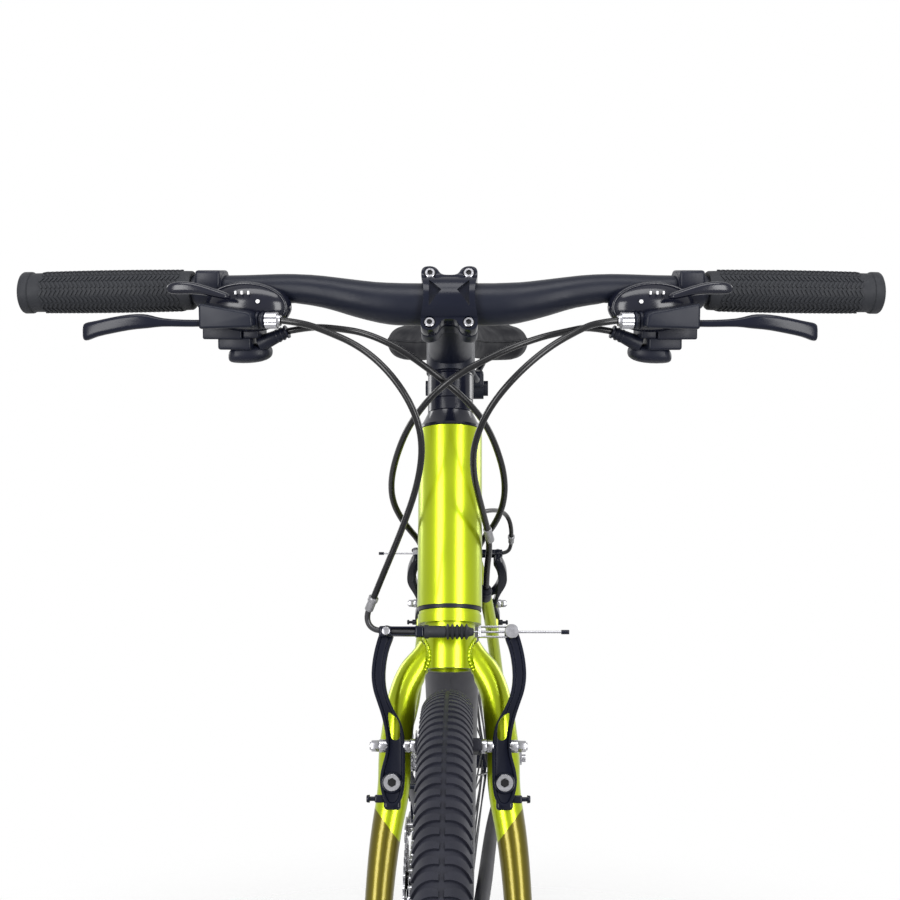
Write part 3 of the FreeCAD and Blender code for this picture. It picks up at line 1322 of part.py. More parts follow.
def brake_cross_wire(up):
    """Noodle with its ferrule, the cradle that hooks it to one arm, the bellows and the wire."""
    z = ARM_TOP_Z
    y = CABLE_Y
    cradle_end = -19.0
    boot_end = 15.0
    cradle_low = Vector(-ARM_TOP_X - 5.0, y - 3.6, z - 4.2)
    cradle = rounded_box(cradle_low, Vector(cradle_end, y + 3.6, z + 4.2), 1.5)
    rivet = rod(Vector(-ARM_TOP_X, y - 4.6, z), Vector(-ARM_TOP_X, y - 3.0, z), 3.2)
    foot = NOODLE_BEND + up * NOODLE_LEG
    ferrule = rod(foot, noodle_top(up), 3.4)
    points = [
        Vector(-ARM_TOP_X - 5.0, y, z),
        Vector(-ARM_TOP_X - 10.5, y, z + 0.6),
        Vector(-ARM_TOP_X - 14.5, y - 1.0, z + 5.0),
        NOODLE_BEND,
        foot,
    ]
    noodle = cord("noodle", points, 2.4)
    wire = rod(Vector(boot_end, y, z), Vector(ARM_TOP_X + 30.0, y, z), S.wire_dia / 2)
    crimp = rod(Vector(ARM_TOP_X + 30.0, y, z), Vector(ARM_TOP_X + 36.0, y, z), 1.7)
    boot = boot_solid(cradle_end, boot_end, y, z)
    return [fused([cradle, rivet]), ferrule, noodle, boot, fused([wire, crimp])]


def make_brakes():
    arm = brake_arm_solid()
    pad = brake_pad_solids()
    anchored = fused([arm, arm_head(3.6, 4.2)])
    hooked = mirrored(fused([arm, arm_head(1.2, 3.2)]))
    add_shape("front_brake_arm_left", anchored, STEERING)
    add_shape("front_brake_arm_right", hooked, STEERING)
    add_shape("front_brake_pad_left", pad, STEERING)
    add_shape("front_brake_pad_right", mirrored(pad), STEERING)
    add_shape("front_noodle", Part.makeCompound(brake_cross_wire(FRONT_NOODLE_UP)), STEERING)
    add_shape("rear_brake_arm_right", Part.makeCompound([anchored] + pad.Solids), REAR_BRAKE)
    add_shape("rear_brake_arm_left", Part.makeCompound([hooked] + mirrored(pad).Solids), REAR_BRAKE)


# Drive train
# Sprockets and the chain's path are worked out in the side plane as (Y, Z) pairs.

COG_TEETH = (14, 16, 18, int(S.engaged_cog_teeth), 22, 24, 28)
ROLLER_GAP = 0.35
TOOTH_RISE = 3.2
TIP_HALF = 1.1
SEAT_TURN = math.radians(78.0)
JOCKEY_RISE = 2.3
LINK_GAP = 0.6
PLATE_THICKNESS = 0.8
PLATE_RADIUS = 4.1
GUIDE = REAR_AXLE + Vector(0, 13.0, -88.0)
SLIDE_AXIS = REAR_AXLE + Vector(0, 37.0, -61.0)
CHAIN_X = -S.chain_line
CLOCKWISE = -1
ANTICLOCKWISE = 1


def pitch_radius(teeth):
    return S.chain_pitch / (2 * math.sin(math.pi / teeth))


def polar(radius, angle):
    return Vector(radius * math.cos(angle), radius * math.sin(angle), 0)


def sprocket(teeth, phase, bore, centre, x, rise=TOOTH_RISE):
    """A toothed disc in the side plane: a round seat for each roller, flanks and blunt tips."""
    pitch = pitch_radius(teeth)
    seat = S.roller_dia / 2 + ROLLER_GAP
    step = 2 * math.pi / teeth
    tip = pitch + rise
    tip_turn = TIP_HALF / tip

    def seat_point(angle, turn):
        out = polar(1.0, angle)
        side = polar(1.0, angle + math.pi / 2)
        return out * (pitch - seat * math.cos(turn)) + side * (seat * math.sin(turn))

    edges = []
    for index in range(teeth):
        angle = phase + step * index
        tooth = angle + step / 2
        seat_start = seat_point(angle, -SEAT_TURN)
        seat_end = seat_point(angle, SEAT_TURN)
        next_start = seat_point(angle + step, -SEAT_TURN)
        tip_start = polar(tip, tooth - tip_turn)
        tip_end = polar(tip, tooth + tip_turn)
        edges.append(Part.Arc(seat_start, seat_point(angle, 0.0), seat_end).toShape())
        edges.append(Part.LineSegment(seat_end, tip_start).toShape())
        edges.append(Part.LineSegment(tip_start, tip_end).toShape())
        edges.append(Part.LineSegment(tip_end, next_start).toShape())
    thickness = S.sprocket_thickness
    disc = Part.Face(Part.Wire(edges)).extrude(Vector(0, 0, thickness))
    disc = disc.cut(Part.makeCylinder(bore, thickness))
    disc.Placement = Placement(Vector(x - thickness / 2, centre.y, centre.z), SIDE_PLANE)
    return disc


def tension_point(cage_angle):
    """Centre of the lower jockey wheel, for a cage angle forward of straight down."""
    return GUIDE + Vector(0, -math.sin(cage_angle), -math.cos(cage_angle)) * S.cage_length


def chain_wheels(cage_angle):
    """The wheels that the chain passes in turn: centre, teeth and turning sense."""
    return [
        (BRACKET, int(S.middle_ring_teeth), CLOCKWISE),
        (REAR_AXLE, int(S.engaged_cog_teeth), CLOCKWISE),
        (GUIDE, int(S.jockey_teeth), ANTICLOCKWISE),
        (tension_point(cage_angle), int(S.jockey_teeth), CLOCKWISE),
    ]


def chain_spans(cage_angle):
    """Straight runs and wraps of the chain, each with its length counted in links."""
    wheels = chain_wheels(cage_angle)
    runs = []
    for (c1, n1, t1), (c2, n2, t2) in zip(wheels, wheels[1:] + wheels[:1]):
        r1 = t1 * pitch_radius(n1)
        r2 = t2 * pitch_radius(n2)
        gap = math.hypot(c2.y - c1.y, c2.z - c1.z)
        heading = math.atan2(c2.z - c1.z, c2.y - c1.y) - math.asin((r2 - r1) / gap)
        length = math.sqrt(gap * gap - (r2 - r1) ** 2)
        start = Vector(c1.y + r1 * math.sin(heading), c1.z - r1 * math.cos(heading), 0)
        runs.append((start, heading, length))
    spans = []
    for index, (start, heading, length) in enumerate(runs):
        spans.append(("run", length / S.chain_pitch, start, heading))
        centre, teeth, turning = wheels[(index + 1) % len(wheels)]
        next_heading = runs[(index + 1) % len(runs)][1]
        wrap = (turning * (next_heading - heading)) % (2 * math.pi)
        contact = heading - turning * math.pi / 2
        spans.append(("wrap", wrap * teeth / (2 * math.pi), (index + 1) % len(wheels), contact))
    return spans


def chain_length(cage_angle):
    return sum(span[1] for span in chain_spans(cage_angle))


def settle_cage():
    """The cage angle at which the chain holds a whole, even number of links."""
    low = math.radians(2.0)
    high = math.radians(62.0)
    longest = chain_length(low)
    shortest = chain_length(high)
    links = 2 * round((longest + shortest) / 4)
    for step in range(60):
        middle = (low + high) / 2
        if chain_length(middle) > links:
            low = middle
        else:
            high = middle
    return (low + high) / 2, links


CAGE_ANGLE, LINK_COUNT = settle_cage()
TENSION = tension_point(CAGE_ANGLE)


def chain_joints():
    """Centres of all rollers in the side plane, and the phase of each wheel under them."""
    wheels = chain_wheels(CAGE_ANGLE)
    joints = []
    phases = {}
    passed = 0.0
    for kind, length, first, second in chain_spans(CAGE_ANGLE):
        index = math.ceil(passed - 1e-9)
        while index < passed + length - 1e-9 and index < LINK_COUNT:
            along = index - passed
            if kind == "run":
                joints.append(first + polar(along * S.chain_pitch, second))
            else:
                centre, teeth, turning = wheels[first]
                angle = second + turning * along * 2 * math.pi / teeth
                phases.setdefault(first, angle)
                joints.append(Vector(centre.y, centre.z, 0) + polar(pitch_radius(teeth), angle))
            index += 1
        passed += length
    return joints, phases


CHAIN_JOINTS, WHEEL_PHASES = chain_joints()


def link_plate(height):
    """One flat link plate, its inner face at a height above the chain's middle plane."""
    half = S.chain_pitch / 2
    plate = capsule_plate(Vector(-half, 0, 0), PLATE_RADIUS, Vector(half, 0, 0), PLATE_RADIUS,
                          PLATE_THICKNESS)
    plate.translate(Vector(0, 0, height + PLATE_THICKNESS / 2))
    return plate


def inner_link():
    gap = S.sprocket_thickness / 2 + LINK_GAP
    half = S.chain_pitch / 2
    rollers = []
    for x in (-half, half):
        rollers.append(rod(Vector(x, 0, -gap), Vector(x, 0, gap), S.roller_dia / 2))
    top = link_plate(gap)
    return [fused([top, top.mirror(ORIGIN, Z_AXIS)] + rollers)]


def outer_link():
    gap = S.sprocket_thickness / 2 + LINK_GAP + PLATE_THICKNESS + 0.1
    half = S.chain_pitch / 2
    heads = []
    for x in (-half, half):
        face = gap + PLATE_THICKNESS
        heads.append(rod(Vector(x, 0, face), Vector(x, 0, face + 0.3), 1.8))
    top = fused([link_plate(gap)] + heads)
    return [top, top.mirror(ORIGIN, Z_AXIS)]


def make_chain():
    """Inner and outer links in turn along the chain's path."""
    kinds = (inner_link(), outer_link())
    links = []
    for index, start in enumerate(CHAIN_JOINTS):
        end = CHAIN_JOINTS[(index + 1) % len(CHAIN_JOINTS)]
        middle = (start + end) * 0.5
        heading = math.atan2(end.y - start.y, end.x - start.x)
        lay = Placement(middle, Rotation(Z_AXIS, math.degrees(heading)))
        stand = Placement(Vector(CHAIN_X, 0, 0), SIDE_PLANE)
        for solid in kinds[index % 2]:
            copy = solid.copy()
            copy.Placement = stand.multiply(lay)
            links.append(copy)
    print("chain: %d links, cage angle %.1f" % (LINK_COUNT, math.degrees(CAGE_ANGLE)))
    add_shape("chain", Part.makeCompound(links))


def make_freewheel():
    """Seven cogs on a core that turns on the axle beside the hub."""
    core_radius = 17.0
    outer = CHAIN_X - (COG_COUNT // 2) * S.cog_step - 2.5
    core = across(REAR_AXLE, outer, FREEWHEEL_INNER, core_radius)
    core = core.cut(across(REAR_AXLE, outer, FREEWHEEL_INNER, S.rear_axle_dia / 2 + S.running_gap))
    cogs = [core]
    for index, teeth in enumerate(COG_TEETH):
        x = CHAIN_X + (index - COG_COUNT // 2) * S.cog_step
        cogs.append(sprocket(teeth, WHEEL_PHASES[1], core_radius, REAR_AXLE, x))
    add_shape("freewheel_cogs", Part.makeCompound(cogs))


SPIDER_ARMS = 5
RING_BOLT_CIRCLE = 59.0
SMALL_RING_CIRCLE = 38.0
CRANK_INNER = 60.0
CRANK_THICKNESS = 13.0
PEDAL_CLEARANCE = 7.0
CRANK_RISE = math.radians(S.crank_angle)
CRANK_RUN = Vector(0, -math.cos(CRANK_RISE), math.sin(CRANK_RISE))
RIGHT_PEDAL = BRACKET + CRANK_RUN * S.crank_length
LEFT_PEDAL = BRACKET - CRANK_RUN * S.crank_length


def around_bracket(radius, index):
    """A point in the side plane on a circle about the bottom bracket."""
    angle = 2 * math.pi * index / SPIDER_ARMS + math.pi - CRANK_RISE
    return BRACKET + Vector(0, radius * math.cos(angle), radius * math.sin(angle))


def ring_bolts():
    """Bolts through the outer rings and stand-offs for the small ring."""
    half = S.sprocket_thickness / 2
    big_x = CHAIN_X - S.ring_step
    small_x = CHAIN_X + S.ring_step
    bolts = []
    for index in range(SPIDER_ARMS):
        hole = around_bracket(RING_BOLT_CIRCLE, index)
        bolts.append(across(hole, big_x - half - 1.5, CHAIN_X + half + 1.5, 4.0))
        stand = around_bracket(SMALL_RING_CIRCLE, index)
        bolts.append(across(stand, CHAIN_X - half, small_x - half, 4.0))
    return bolts


def make_chainrings():
    big = sprocket(int(S.big_ring_teeth), 0.0, RING_BOLT_CIRCLE - 6.0, BRACKET, CHAIN_X - S.ring_step)
    middle = sprocket(int(S.middle_ring_teeth), WHEEL_PHASES[0], RING_BOLT_CIRCLE - 7.0, BRACKET, CHAIN_X)
    small = sprocket(int(S.small_ring_teeth), 0.0, SMALL_RING_CIRCLE - 5.0, BRACKET, CHAIN_X + S.ring_step)
    bolts = ring_bolts()
    rings = [ring.cut(Part.makeCompound(bolts)) for ring in (big, middle, small)]
    add_shape("chainrings", Part.makeCompound(rings + bolts))


def make_cranks():
    """Right crank with its spider, left crank half a turn away, and both pedal spindles."""
    half = S.sprocket_thickness / 2
    spider_outer = CHAIN_X - S.ring_step + half
    spider_inner = CHAIN_X - half
    spider_x = (spider_outer + spider_inner) / 2
    thickness = spider_inner - spider_outer
    crank_x = CRANK_INNER + CRANK_THICKNESS / 2
    spindle_reach = CRANK_INNER + CRANK_THICKNESS
    spindle = across(BRACKET, -spindle_reach, spindle_reach, S.spindle_dia / 2)
    arms = []
    for index in range(SPIDER_ARMS):
        tip = around_bracket(RING_BOLT_CIRCLE, index)
        arms.append(side_plate([BRACKET, tip], [16.0, 8.0], thickness, spider_x))
    boss = across(BRACKET, -CRANK_INNER, spider_inner, 19.0)
    blade = side_plate([BRACKET, RIGHT_PEDAL], [18.0, 13.0], CRANK_THICKNESS, -crank_x)
    right = fused([blade, boss] + arms).cut(spindle).cut(Part.makeCompound(ring_bolts()))
    left = side_plate([BRACKET, LEFT_PEDAL], [18.0, 13.0], CRANK_THICKNESS, crank_x).cut(spindle)
    reach = CRANK_INNER + CRANK_THICKNESS + PEDAL_CLEARANCE + S.pedal_length + 2.0
    axle_radius = S.pedal_spindle_dia / 2
    right = fused([right, across(RIGHT_PEDAL, -reach, -CRANK_INNER - 1.0, axle_radius)])
    left = fused([left, across(LEFT_PEDAL, CRANK_INNER + 1.0, reach, axle_radius)])
    add_shape("cranks", Part.makeCompound([right, left]))


def make_spindle():
    """The bottom bracket spindle between the cranks."""
    spindle = bound("Part::Cylinder", "spindle", along_x(-CRANK_INNER - CRANK_THICKNESS),
                    Radius="Sizes.spindle_dia / 2")
    spindle.Height = 2 * (CRANK_INNER + CRANK_THICKNESS)
    spindle.Placement = along_x(-CRANK_INNER - CRANK_THICKNESS, BRACKET.y, BRACKET.z)
    keep(spindle, "bottom_bracket_spindle")


def pedal_solid():
    """A cage pedal about its spindle, centred on the origin with X along the spindle."""
    half = Vector(S.pedal_length / 2, S.pedal_width / 2, S.pedal_height / 2)
    body = rounded_box(half * -1.0, half, 4.0)
    bar = 11.0
    barrel = S.pedal_spindle_dia / 2 + 6.0
    window = Vector(S.pedal_length - 2 * bar, half.y - bar - barrel, S.pedal_height + 2.0)
    for side in (-1, 1):
        middle = side * (barrel + window.y / 2)
        low = Vector(-window.x / 2, middle - window.y / 2, -window.z / 2)
        body = body.cut(Part.makeBox(window.x, window.y, window.z, low))
    bore = S.pedal_spindle_dia / 2 + S.running_gap
    return body.cut(rod(Vector(-half.x, 0, 0), Vector(half.x, 0, 0), bore))


def make_pedals():
    offset = CRANK_INNER + CRANK_THICKNESS + PEDAL_CLEARANCE + S.pedal_length / 2
    pedal = pedal_solid()
    add_shape("right_pedal", pedal, Placement(RIGHT_PEDAL - X_AXIS * offset, Rotation()))
    add_shape("left_pedal", pedal, Placement(LEFT_PEDAL + X_AXIS * offset, Rotation()))


# Derailleurs

CHANGER_HEIGHT = 150.0
CHANGER_PIN = BRACKET + SEAT_UP * CHANGER_HEIGHT + Vector(0, 26.0, -4.0)
CHANGER_PIN_RADIUS = 3.0
REAR_PIN_RADIUS = 5.0
KNUCKLE_OUTER = -REAR_DROPOUT_INNER - S.dropout_thickness - 10.5
CAGE_HALF = 4.7
CAGE_PLATE = 1.5
CAGE_PIVOT_RADIUS = 4.0
JOCKEY_AXLE_RADIUS = 2.5


def make_derailleur_mounts():
    """The front derailleur's band and guide pin; the rear one's hanger bolt, link and guide pin."""
    band_middle = BRACKET + SEAT_UP * CHANGER_HEIGHT
    low = band_middle - SEAT_UP * 8.0
    high = band_middle + SEAT_UP * 8.0
    arm_low = Vector(-17.0, band_middle.y + 10.0, CHANGER_PIN.z - 7.0)
    arm = Part.makeBox(24.0, CHANGER_PIN.y + 7.0 - arm_low.y, 14.0, arm_low)
    pin = across(CHANGER_PIN, -50.0, -10.0, CHANGER_PIN_RADIUS)
    front = fused([rod(low, high, SEAT_RADIUS + 3.2), arm, pin]).cut(seat_cylinder())
    bolt = across(HANGER, KNUCKLE_OUTER - 6.0, -REAR_DROPOUT_INNER, HANGER_BOLT_DIA / 2)
    knuckle = across(HANGER, KNUCKLE_OUTER, -REAR_DROPOUT_INNER - S.dropout_thickness, 10.5)
    link = side_plate([HANGER, SLIDE_AXIS], [11.0, 9.0], 6.0, KNUCKLE_OUTER - 3.0)
    slide = across(SLIDE_AXIS, KNUCKLE_OUTER - 3.0, CHAIN_X - 1.0, REAR_PIN_RADIUS)
    add_shape("derailleur_mounts", Part.makeCompound([front, fused([bolt, knuckle, link, slide])]))


def make_front_cage():
    """Two plates either side of the chain, joined above the rings and behind them."""
    outer_radius = pitch_radius(S.big_ring_teeth) + TOOTH_RISE
    arc = outer_radius + 13.0
    half_gap = S.ring_step
    plate_points = []
    for degrees in (96.0, 76.0, 58.0):
        angle = math.radians(degrees)
        plate_points.append(BRACKET + Vector(0, arc * math.cos(angle), arc * math.sin(angle)))
    tail = BRACKET + Vector(0, 120.0, 82.0)
    plate_points.append(tail)
    radii = [8.5, 9.0, 9.0, 13.0]
    plates = [side_plate(plate_points, radii, CAGE_PLATE, CHAIN_X + side * half_gap) for side in (-1, 1)]
    x_from = CHAIN_X - half_gap
    x_to = CHAIN_X + half_gap
    top_bar = across(plate_points[1], x_from, x_to, 3.0)
    tail_bar = across(tail + Vector(0, 4.0, -10.0), x_from, x_to, 1.8)
    block = across(CHANGER_PIN, x_to, x_to + 11.0, 8.0)
    hanger = side_plate([CHANGER_PIN, plate_points[2]], [8.0, 7.0], CAGE_PLATE, x_to)
    bore = across(CHANGER_PIN, x_from - 10.0, x_to + 20.0, CHANGER_PIN_RADIUS + S.running_gap)
    cage = fused(plates + [top_bar, tail_bar, block, hanger]).cut(bore)
    add_shape("front_derailleur_cage", cage)


def make_rear_derailleur():
    arm_inner = CHAIN_X - CAGE_HALF - CAGE_PLATE - 1.8
    arm_outer = arm_inner - 13.0
    sleeve = across(SLIDE_AXIS, arm_outer, arm_inner, 9.0)
    web = side_plate([SLIDE_AXIS, GUIDE], [9.0, 10.0], 8.0, (arm_outer + arm_inner) / 2)
    pivot = across(GUIDE, arm_outer + 3.0, CHAIN_X - CAGE_HALF + 0.1, CAGE_PIVOT_RADIUS)
    bore = across(SLIDE_AXIS, arm_outer - 1.0, arm_inner + 1.0, REAR_PIN_RADIUS + S.running_gap)
    add_shape("rear_derailleur_arm", fused([sleeve, web, pivot]).cut(bore))
    plates = []
    for side in (-1, 1):
        x = CHAIN_X + side * (CAGE_HALF + CAGE_PLATE / 2)
        plates.append(side_plate([GUIDE, TENSION], [12.0, 10.0], CAGE_PLATE, x))
    pivot_hole = across(GUIDE, CHAIN_X - 20.0, CHAIN_X - CAGE_HALF + 0.2, CAGE_PIVOT_RADIUS + S.running_gap)
    plates[0] = plates[0].cut(pivot_hole)
    inner_face = CHAIN_X + CAGE_HALF + CAGE_PLATE
    guide_axle = across(GUIDE, CHAIN_X - CAGE_HALF + 1.0, inner_face, JOCKEY_AXLE_RADIUS)
    outer_face = CHAIN_X - CAGE_HALF - CAGE_PLATE
    tension_axle = across(TENSION, outer_face, inner_face, JOCKEY_AXLE_RADIUS)
    add_shape("rear_derailleur_cage", fused(plates + [guide_axle, tension_axle]))
    bore = JOCKEY_AXLE_RADIUS + S.running_gap
    for name, centre, phase in (("upper", GUIDE, WHEEL_PHASES[2]), ("lower", TENSION, WHEEL_PHASES[3])):
        wheel = sprocket(int(S.jockey_teeth), phase, bore, centre, CHAIN_X, JOCKEY_RISE)
        boss = across(centre, CHAIN_X - 2.8, CHAIN_X + 2.8, 8.0)
        boss = boss.cut(across(centre, CHAIN_X - 3.0, CHAIN_X + 3.0, bore))
        add_shape(name + "_jockey_wheel", fused([wheel, boss]))


# Cables
# Each route is a hand-picked list of points; its ends come from the pieces that hold it.

HOUSING_RADIUS = S.housing_dia / 2
LAST_RUN = 22.0
PORT_GAP = 0.5
PORT_RADIUS = 4.6
PORT_LENGTH = 10.0
UPPER_PORT = (40.0, 21.0, 20.0)
SIDE_PORT = (52.0, 5.0, 28.6)


def bar_place(point, side):
    """A point of the control frame in the bicycle's frame; side is 1 for left and -1 for right."""
    local = CONTROL.multVec(point)
    return BAR_CENTRE + Vector(side * local.x, local.y, local.z)


def down_tube_place(along, up, aside):
    return DOWN_TUBE_HEAD + DOWN_TUBE_RUN * along + DOWN_TUBE_UP * up + X_AXIS * aside


def barrel_mouth(side):
    return bar_place(Vector(BARREL_END, BARREL_AXIS.y, BARREL_AXIS.z), side)


def route(start, inner, end):
    """A cable's points: its start, the hand-picked points on the way and its end."""
    return [start] + [Vector(*point) for point in inner] + [end]


def make_front_brake_housing():
    """From the right lever, round in front of the head tube, down to the front noodle."""
    way = [(-109.0, -394.0, 940.8), (-92.0, -406.0, 936.0), (-64.0, -423.0, 925.0), (-42.0, -433.0, 907.0),
           (-25.0, -437.0, 882.0), (-18.0, -433.0, 856.0), (-22.0, -425.0, 825.0), (-35.0, -416.0, 788.0)]
    top = noodle_top(FRONT_NOODLE_UP)
    lead = STEERING.multVec(top + FRONT_NOODLE_UP * LAST_RUN)
    points = route(barrel_mouth(-1), way, STEERING.multVec(top))
    points.insert(-1, lead)
    housing = cord("front brake housing", points, HOUSING_RADIUS)
    add_shape("front_brake_housing", housing.cut(DOC.getObject("barrel_adjusters").Shape))


def ported_cord(name, start, way, port):
    """A housing whose last run lines up with its grommet and stops just short of it."""
    mouth = down_tube_place(*port)
    points = route(start, way, mouth - DOWN_TUBE_RUN * PORT_GAP)
    points.insert(-1, mouth - DOWN_TUBE_RUN * LAST_RUN)
    return cord(name, points, HOUSING_RADIUS)


def make_crossing_housings():
    """Two gear housings that cross in front of the head tube, and the rear brake's."""
    rear_gear = [(-104.0, -365.0, 937.0), (-84.0, -388.0, 936.5), (-61.0, -398.5, 933.5),
                 (-35.0, -404.5, 922.0), (-6.0, -402.0, 900.5), (18.0, -392.0, 879.0), (33.0, -376.0, 855.0),
                 (44.0, -351.0, 817.0), (39.0, -331.0, 786.0)]
    front_gear = [(104.0, -365.0, 937.0), (88.0, -387.0, 934.5), (65.0, -402.0, 930.0),
                  (36.0, -410.5, 919.5), (-3.0, -412.5, 898.5), (-29.0, -397.0, 868.0),
                  (-43.0, -367.0, 832.0), (-46.0, -342.0, 805.0), (-38.0, -329.0, 784.0)]
    rear_brake = [(109.0, -394.0, 940.8), (96.0, -407.0, 936.5), (72.0, -421.0, 924.0),
                  (48.0, -430.0, 904.0), (28.0, -428.0, 879.0), (18.0, -416.5, 852.0), (18.0, -396.0, 828.0),
                  (24.5, -368.0, 799.5), (31.5, -341.0, 770.0)]
    along, up, aside = UPPER_PORT
    cords = [
        ported_cord("rear gear housing", bar_place(EXIT_END, -1), rear_gear, (along, up, aside)),
        ported_cord("front gear housing", bar_place(EXIT_END, 1), front_gear, (along, up, -aside)),
        ported_cord("rear brake housing", barrel_mouth(1), rear_brake, SIDE_PORT),
    ]
    for holder in ("barrel_adjusters", "shifter_bodies"):
        cords = [piece.cut(DOC.getObject(holder).Shape) for piece in cords]
    add_shape("crossing_housings", Part.makeCompound(cords))


def port_solid(along, up, aside):
    """A grommet on the down tube where a housing goes inside."""
    mouth = down_tube_place(along, up, aside)
    foot = mouth + DOWN_TUBE_RUN * PORT_LENGTH
    root = down_tube_place(along + PORT_LENGTH * 0.7, 0.0, 0.0)
    shoulder = mouth + DOWN_TUBE_RUN * 0.6 * PORT_LENGTH
    grommet = fused([rod(mouth, foot, PORT_RADIUS), rod(shoulder, root, 3.6)])
    skin = cone(DOWN_TUBE_HEAD, BRACKET, S.down_tube_dia / 2, DOWN_TUBE_FOOT_DIA / 2)
    return grommet.cut(skin)


def make_frame_cables():
    """Rear gear loop; then grommets, front gear wire, and the rear brake's lead and cross wire."""
    along, up, aside = UPPER_PORT
    pieces = [port_solid(along, up, aside), port_solid(along, up, -aside), port_solid(*SIDE_PORT)]
    link_back = Vector(KNUCKLE_OUTER - 3.0, SLIDE_AXIS.y + 9.2, SLIDE_AXIS.z)
    stay_exit = REAR_AXLE + Vector(-REAR_DROPOUT_MIDDLE + 6.0, -72.0, -12.0)
    gear_way = [(-74.0, 484.0, 334.0), (-90.0, 508.0, 339.0), (-98.5, 537.0, 341.0), (-101.0, 570.0, 341.5),
                (-100.0, 604.6, 340.0), (-97.0, 621.0, 323.6), (-93.0, 621.0, 300.4)]
    points = route(stay_exit, gear_way, link_back)
    points.insert(-1, link_back + Vector(-2.0, 23.4, 0.0))
    loop = cord("rear gear loop", points, HOUSING_RADIUS)
    add_shape("rear_gear_loop", loop.cut(DOC.getObject("chain_stays").Shape))
    wire_x = -8.0
    wire_foot = BRACKET + Vector(wire_x, 26.0, 14.0)
    wire_head = Vector(wire_x, CHANGER_PIN.y, CHANGER_PIN.z - 7.2)
    pieces.append(rod(wire_foot, wire_head, S.wire_dia / 2))
    for solid in brake_cross_wire(REAR_NOODLE_UP):
        solid.Placement = REAR_BRAKE.multiply(solid.Placement)
        pieces.append(solid)
    lead_foot = REAR_BRAKE.multVec(noodle_top(REAR_NOODLE_UP))
    top_run = (TOP_TUBE_HEAD - TOP_TUBE_SEAT).normalize()
    entry = TOP_TUBE_SEAT + top_run * 62.0 + X_AXIS * (S.top_tube_dia / 2 + 0.3)
    brake_way = [lead_foot + STAY_RUN * 22.0, lead_foot + STAY_RUN * 46.0 + X_AXIS * -9.0,
                 entry + Vector(17.0, 22.0, 3.0)]
    lead = cord("rear brake lead", [lead_foot] + brake_way + [entry], HOUSING_RADIUS)
    pieces.append(lead.cut(rod(TOP_TUBE_HEAD, TOP_TUBE_SEAT, S.top_tube_dia / 2 + PORT_GAP)))
    add_shape("frame_cables", Part.makeCompound(pieces))


# Build, check and write

make_head_tube()
make_top_tube()
make_down_tube()
make_seat_tube()
make_seat_clamp()
make_headset_races()
make_chain_stays()
make_seat_stays()
make_wheels()
make_seatpost_and_saddle()
make_fork_steerer()
make_fork_blades()
make_headset_spacers()
make_handlebar()
make_grips()
make_stem()
make_stem_faceplate()
make_steering_bolts()
make_controls()
make_brakes()
make_chain()
make_freewheel()
make_chainrings()
make_cranks()
make_spindle()
make_pedals()
make_derailleur_mounts()
make_front_cage()
make_rear_derailleur()
make_front_brake_housing()
make_crossing_housings()
make_frame_cables()
DOC.recompute()

for item in DOC.Objects:
    if "Invalid" in item.State or "Error" in item.State:
        raise RuntimeError("failed object: " + item.Label)
for part in SUBPARTS:
    if part.Shape.isNull() or not part.Shape.isValid():
        raise RuntimeError("bad shape: " + part.Label)

os.makedirs("parts", exist_ok=True)
for part in SUBPARTS:
    part.Shape.exportStep(os.path.join("parts", part.Label + ".step"))
print("%d sub-parts written" % len(SUBPARTS))
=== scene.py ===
# %% [markdown]
# Hybrid bicycle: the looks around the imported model.
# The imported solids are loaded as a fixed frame, in metres. Each later cell makes one finish or
# one piece, sets it where the solids say it belongs, and lets it ride on the body that carries it.

import json
import math

import bmesh
import bpy
from mathutils import Matrix, Vector


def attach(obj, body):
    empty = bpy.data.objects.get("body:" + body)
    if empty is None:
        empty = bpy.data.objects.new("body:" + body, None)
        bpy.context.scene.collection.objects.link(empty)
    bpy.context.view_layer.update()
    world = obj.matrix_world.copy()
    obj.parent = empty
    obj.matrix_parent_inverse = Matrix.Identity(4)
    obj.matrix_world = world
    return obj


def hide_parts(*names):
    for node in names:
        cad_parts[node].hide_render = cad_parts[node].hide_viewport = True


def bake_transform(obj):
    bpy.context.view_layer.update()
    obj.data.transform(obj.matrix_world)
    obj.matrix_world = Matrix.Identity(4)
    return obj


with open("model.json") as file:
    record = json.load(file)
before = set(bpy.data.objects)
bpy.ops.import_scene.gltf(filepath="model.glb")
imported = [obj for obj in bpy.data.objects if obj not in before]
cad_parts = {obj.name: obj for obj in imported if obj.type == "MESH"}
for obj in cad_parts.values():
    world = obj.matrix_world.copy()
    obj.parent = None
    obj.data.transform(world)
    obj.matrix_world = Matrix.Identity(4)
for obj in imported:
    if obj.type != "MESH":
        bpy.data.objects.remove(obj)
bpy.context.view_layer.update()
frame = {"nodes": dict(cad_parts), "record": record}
NODES = frame["nodes"]

# %% [markdown]
# Materials and the world are small networks of nodes. A few helpers keep them short: one adds a node
# with its settings, one draws the links. Every finish starts from one Principled shader. A colour
# that is the same all over stays on the shader's own socket. What changes over the surface, such as
# roughness or a bump, comes from a group, so each finish keeps its own scale and depth.

# %% Node and finish helpers


def set_inputs(node, values):
    """Set a node's inputs by name; an underscore stands for a space."""
    for socket, value in values.items():
        node.inputs[socket.replace("_", " ")].default_value = value
    return node


def add(tree, kind, operation=None, **inputs):
    node = tree.nodes.new("ShaderNode" + kind)
    if operation:
        node.operation = operation
    return set_inputs(node, inputs)


def wire(tree, *links):
    """Draw links, each given as node, output, node, input."""
    for source, output, target, socket in links:
        tree.links.new(source.outputs[output], target.inputs[socket])


def put(name, data):
    """An object of the scene, made from its data."""
    item = bpy.data.objects.new(name, data)
    bpy.context.scene.collection.objects.link(item)
    return item


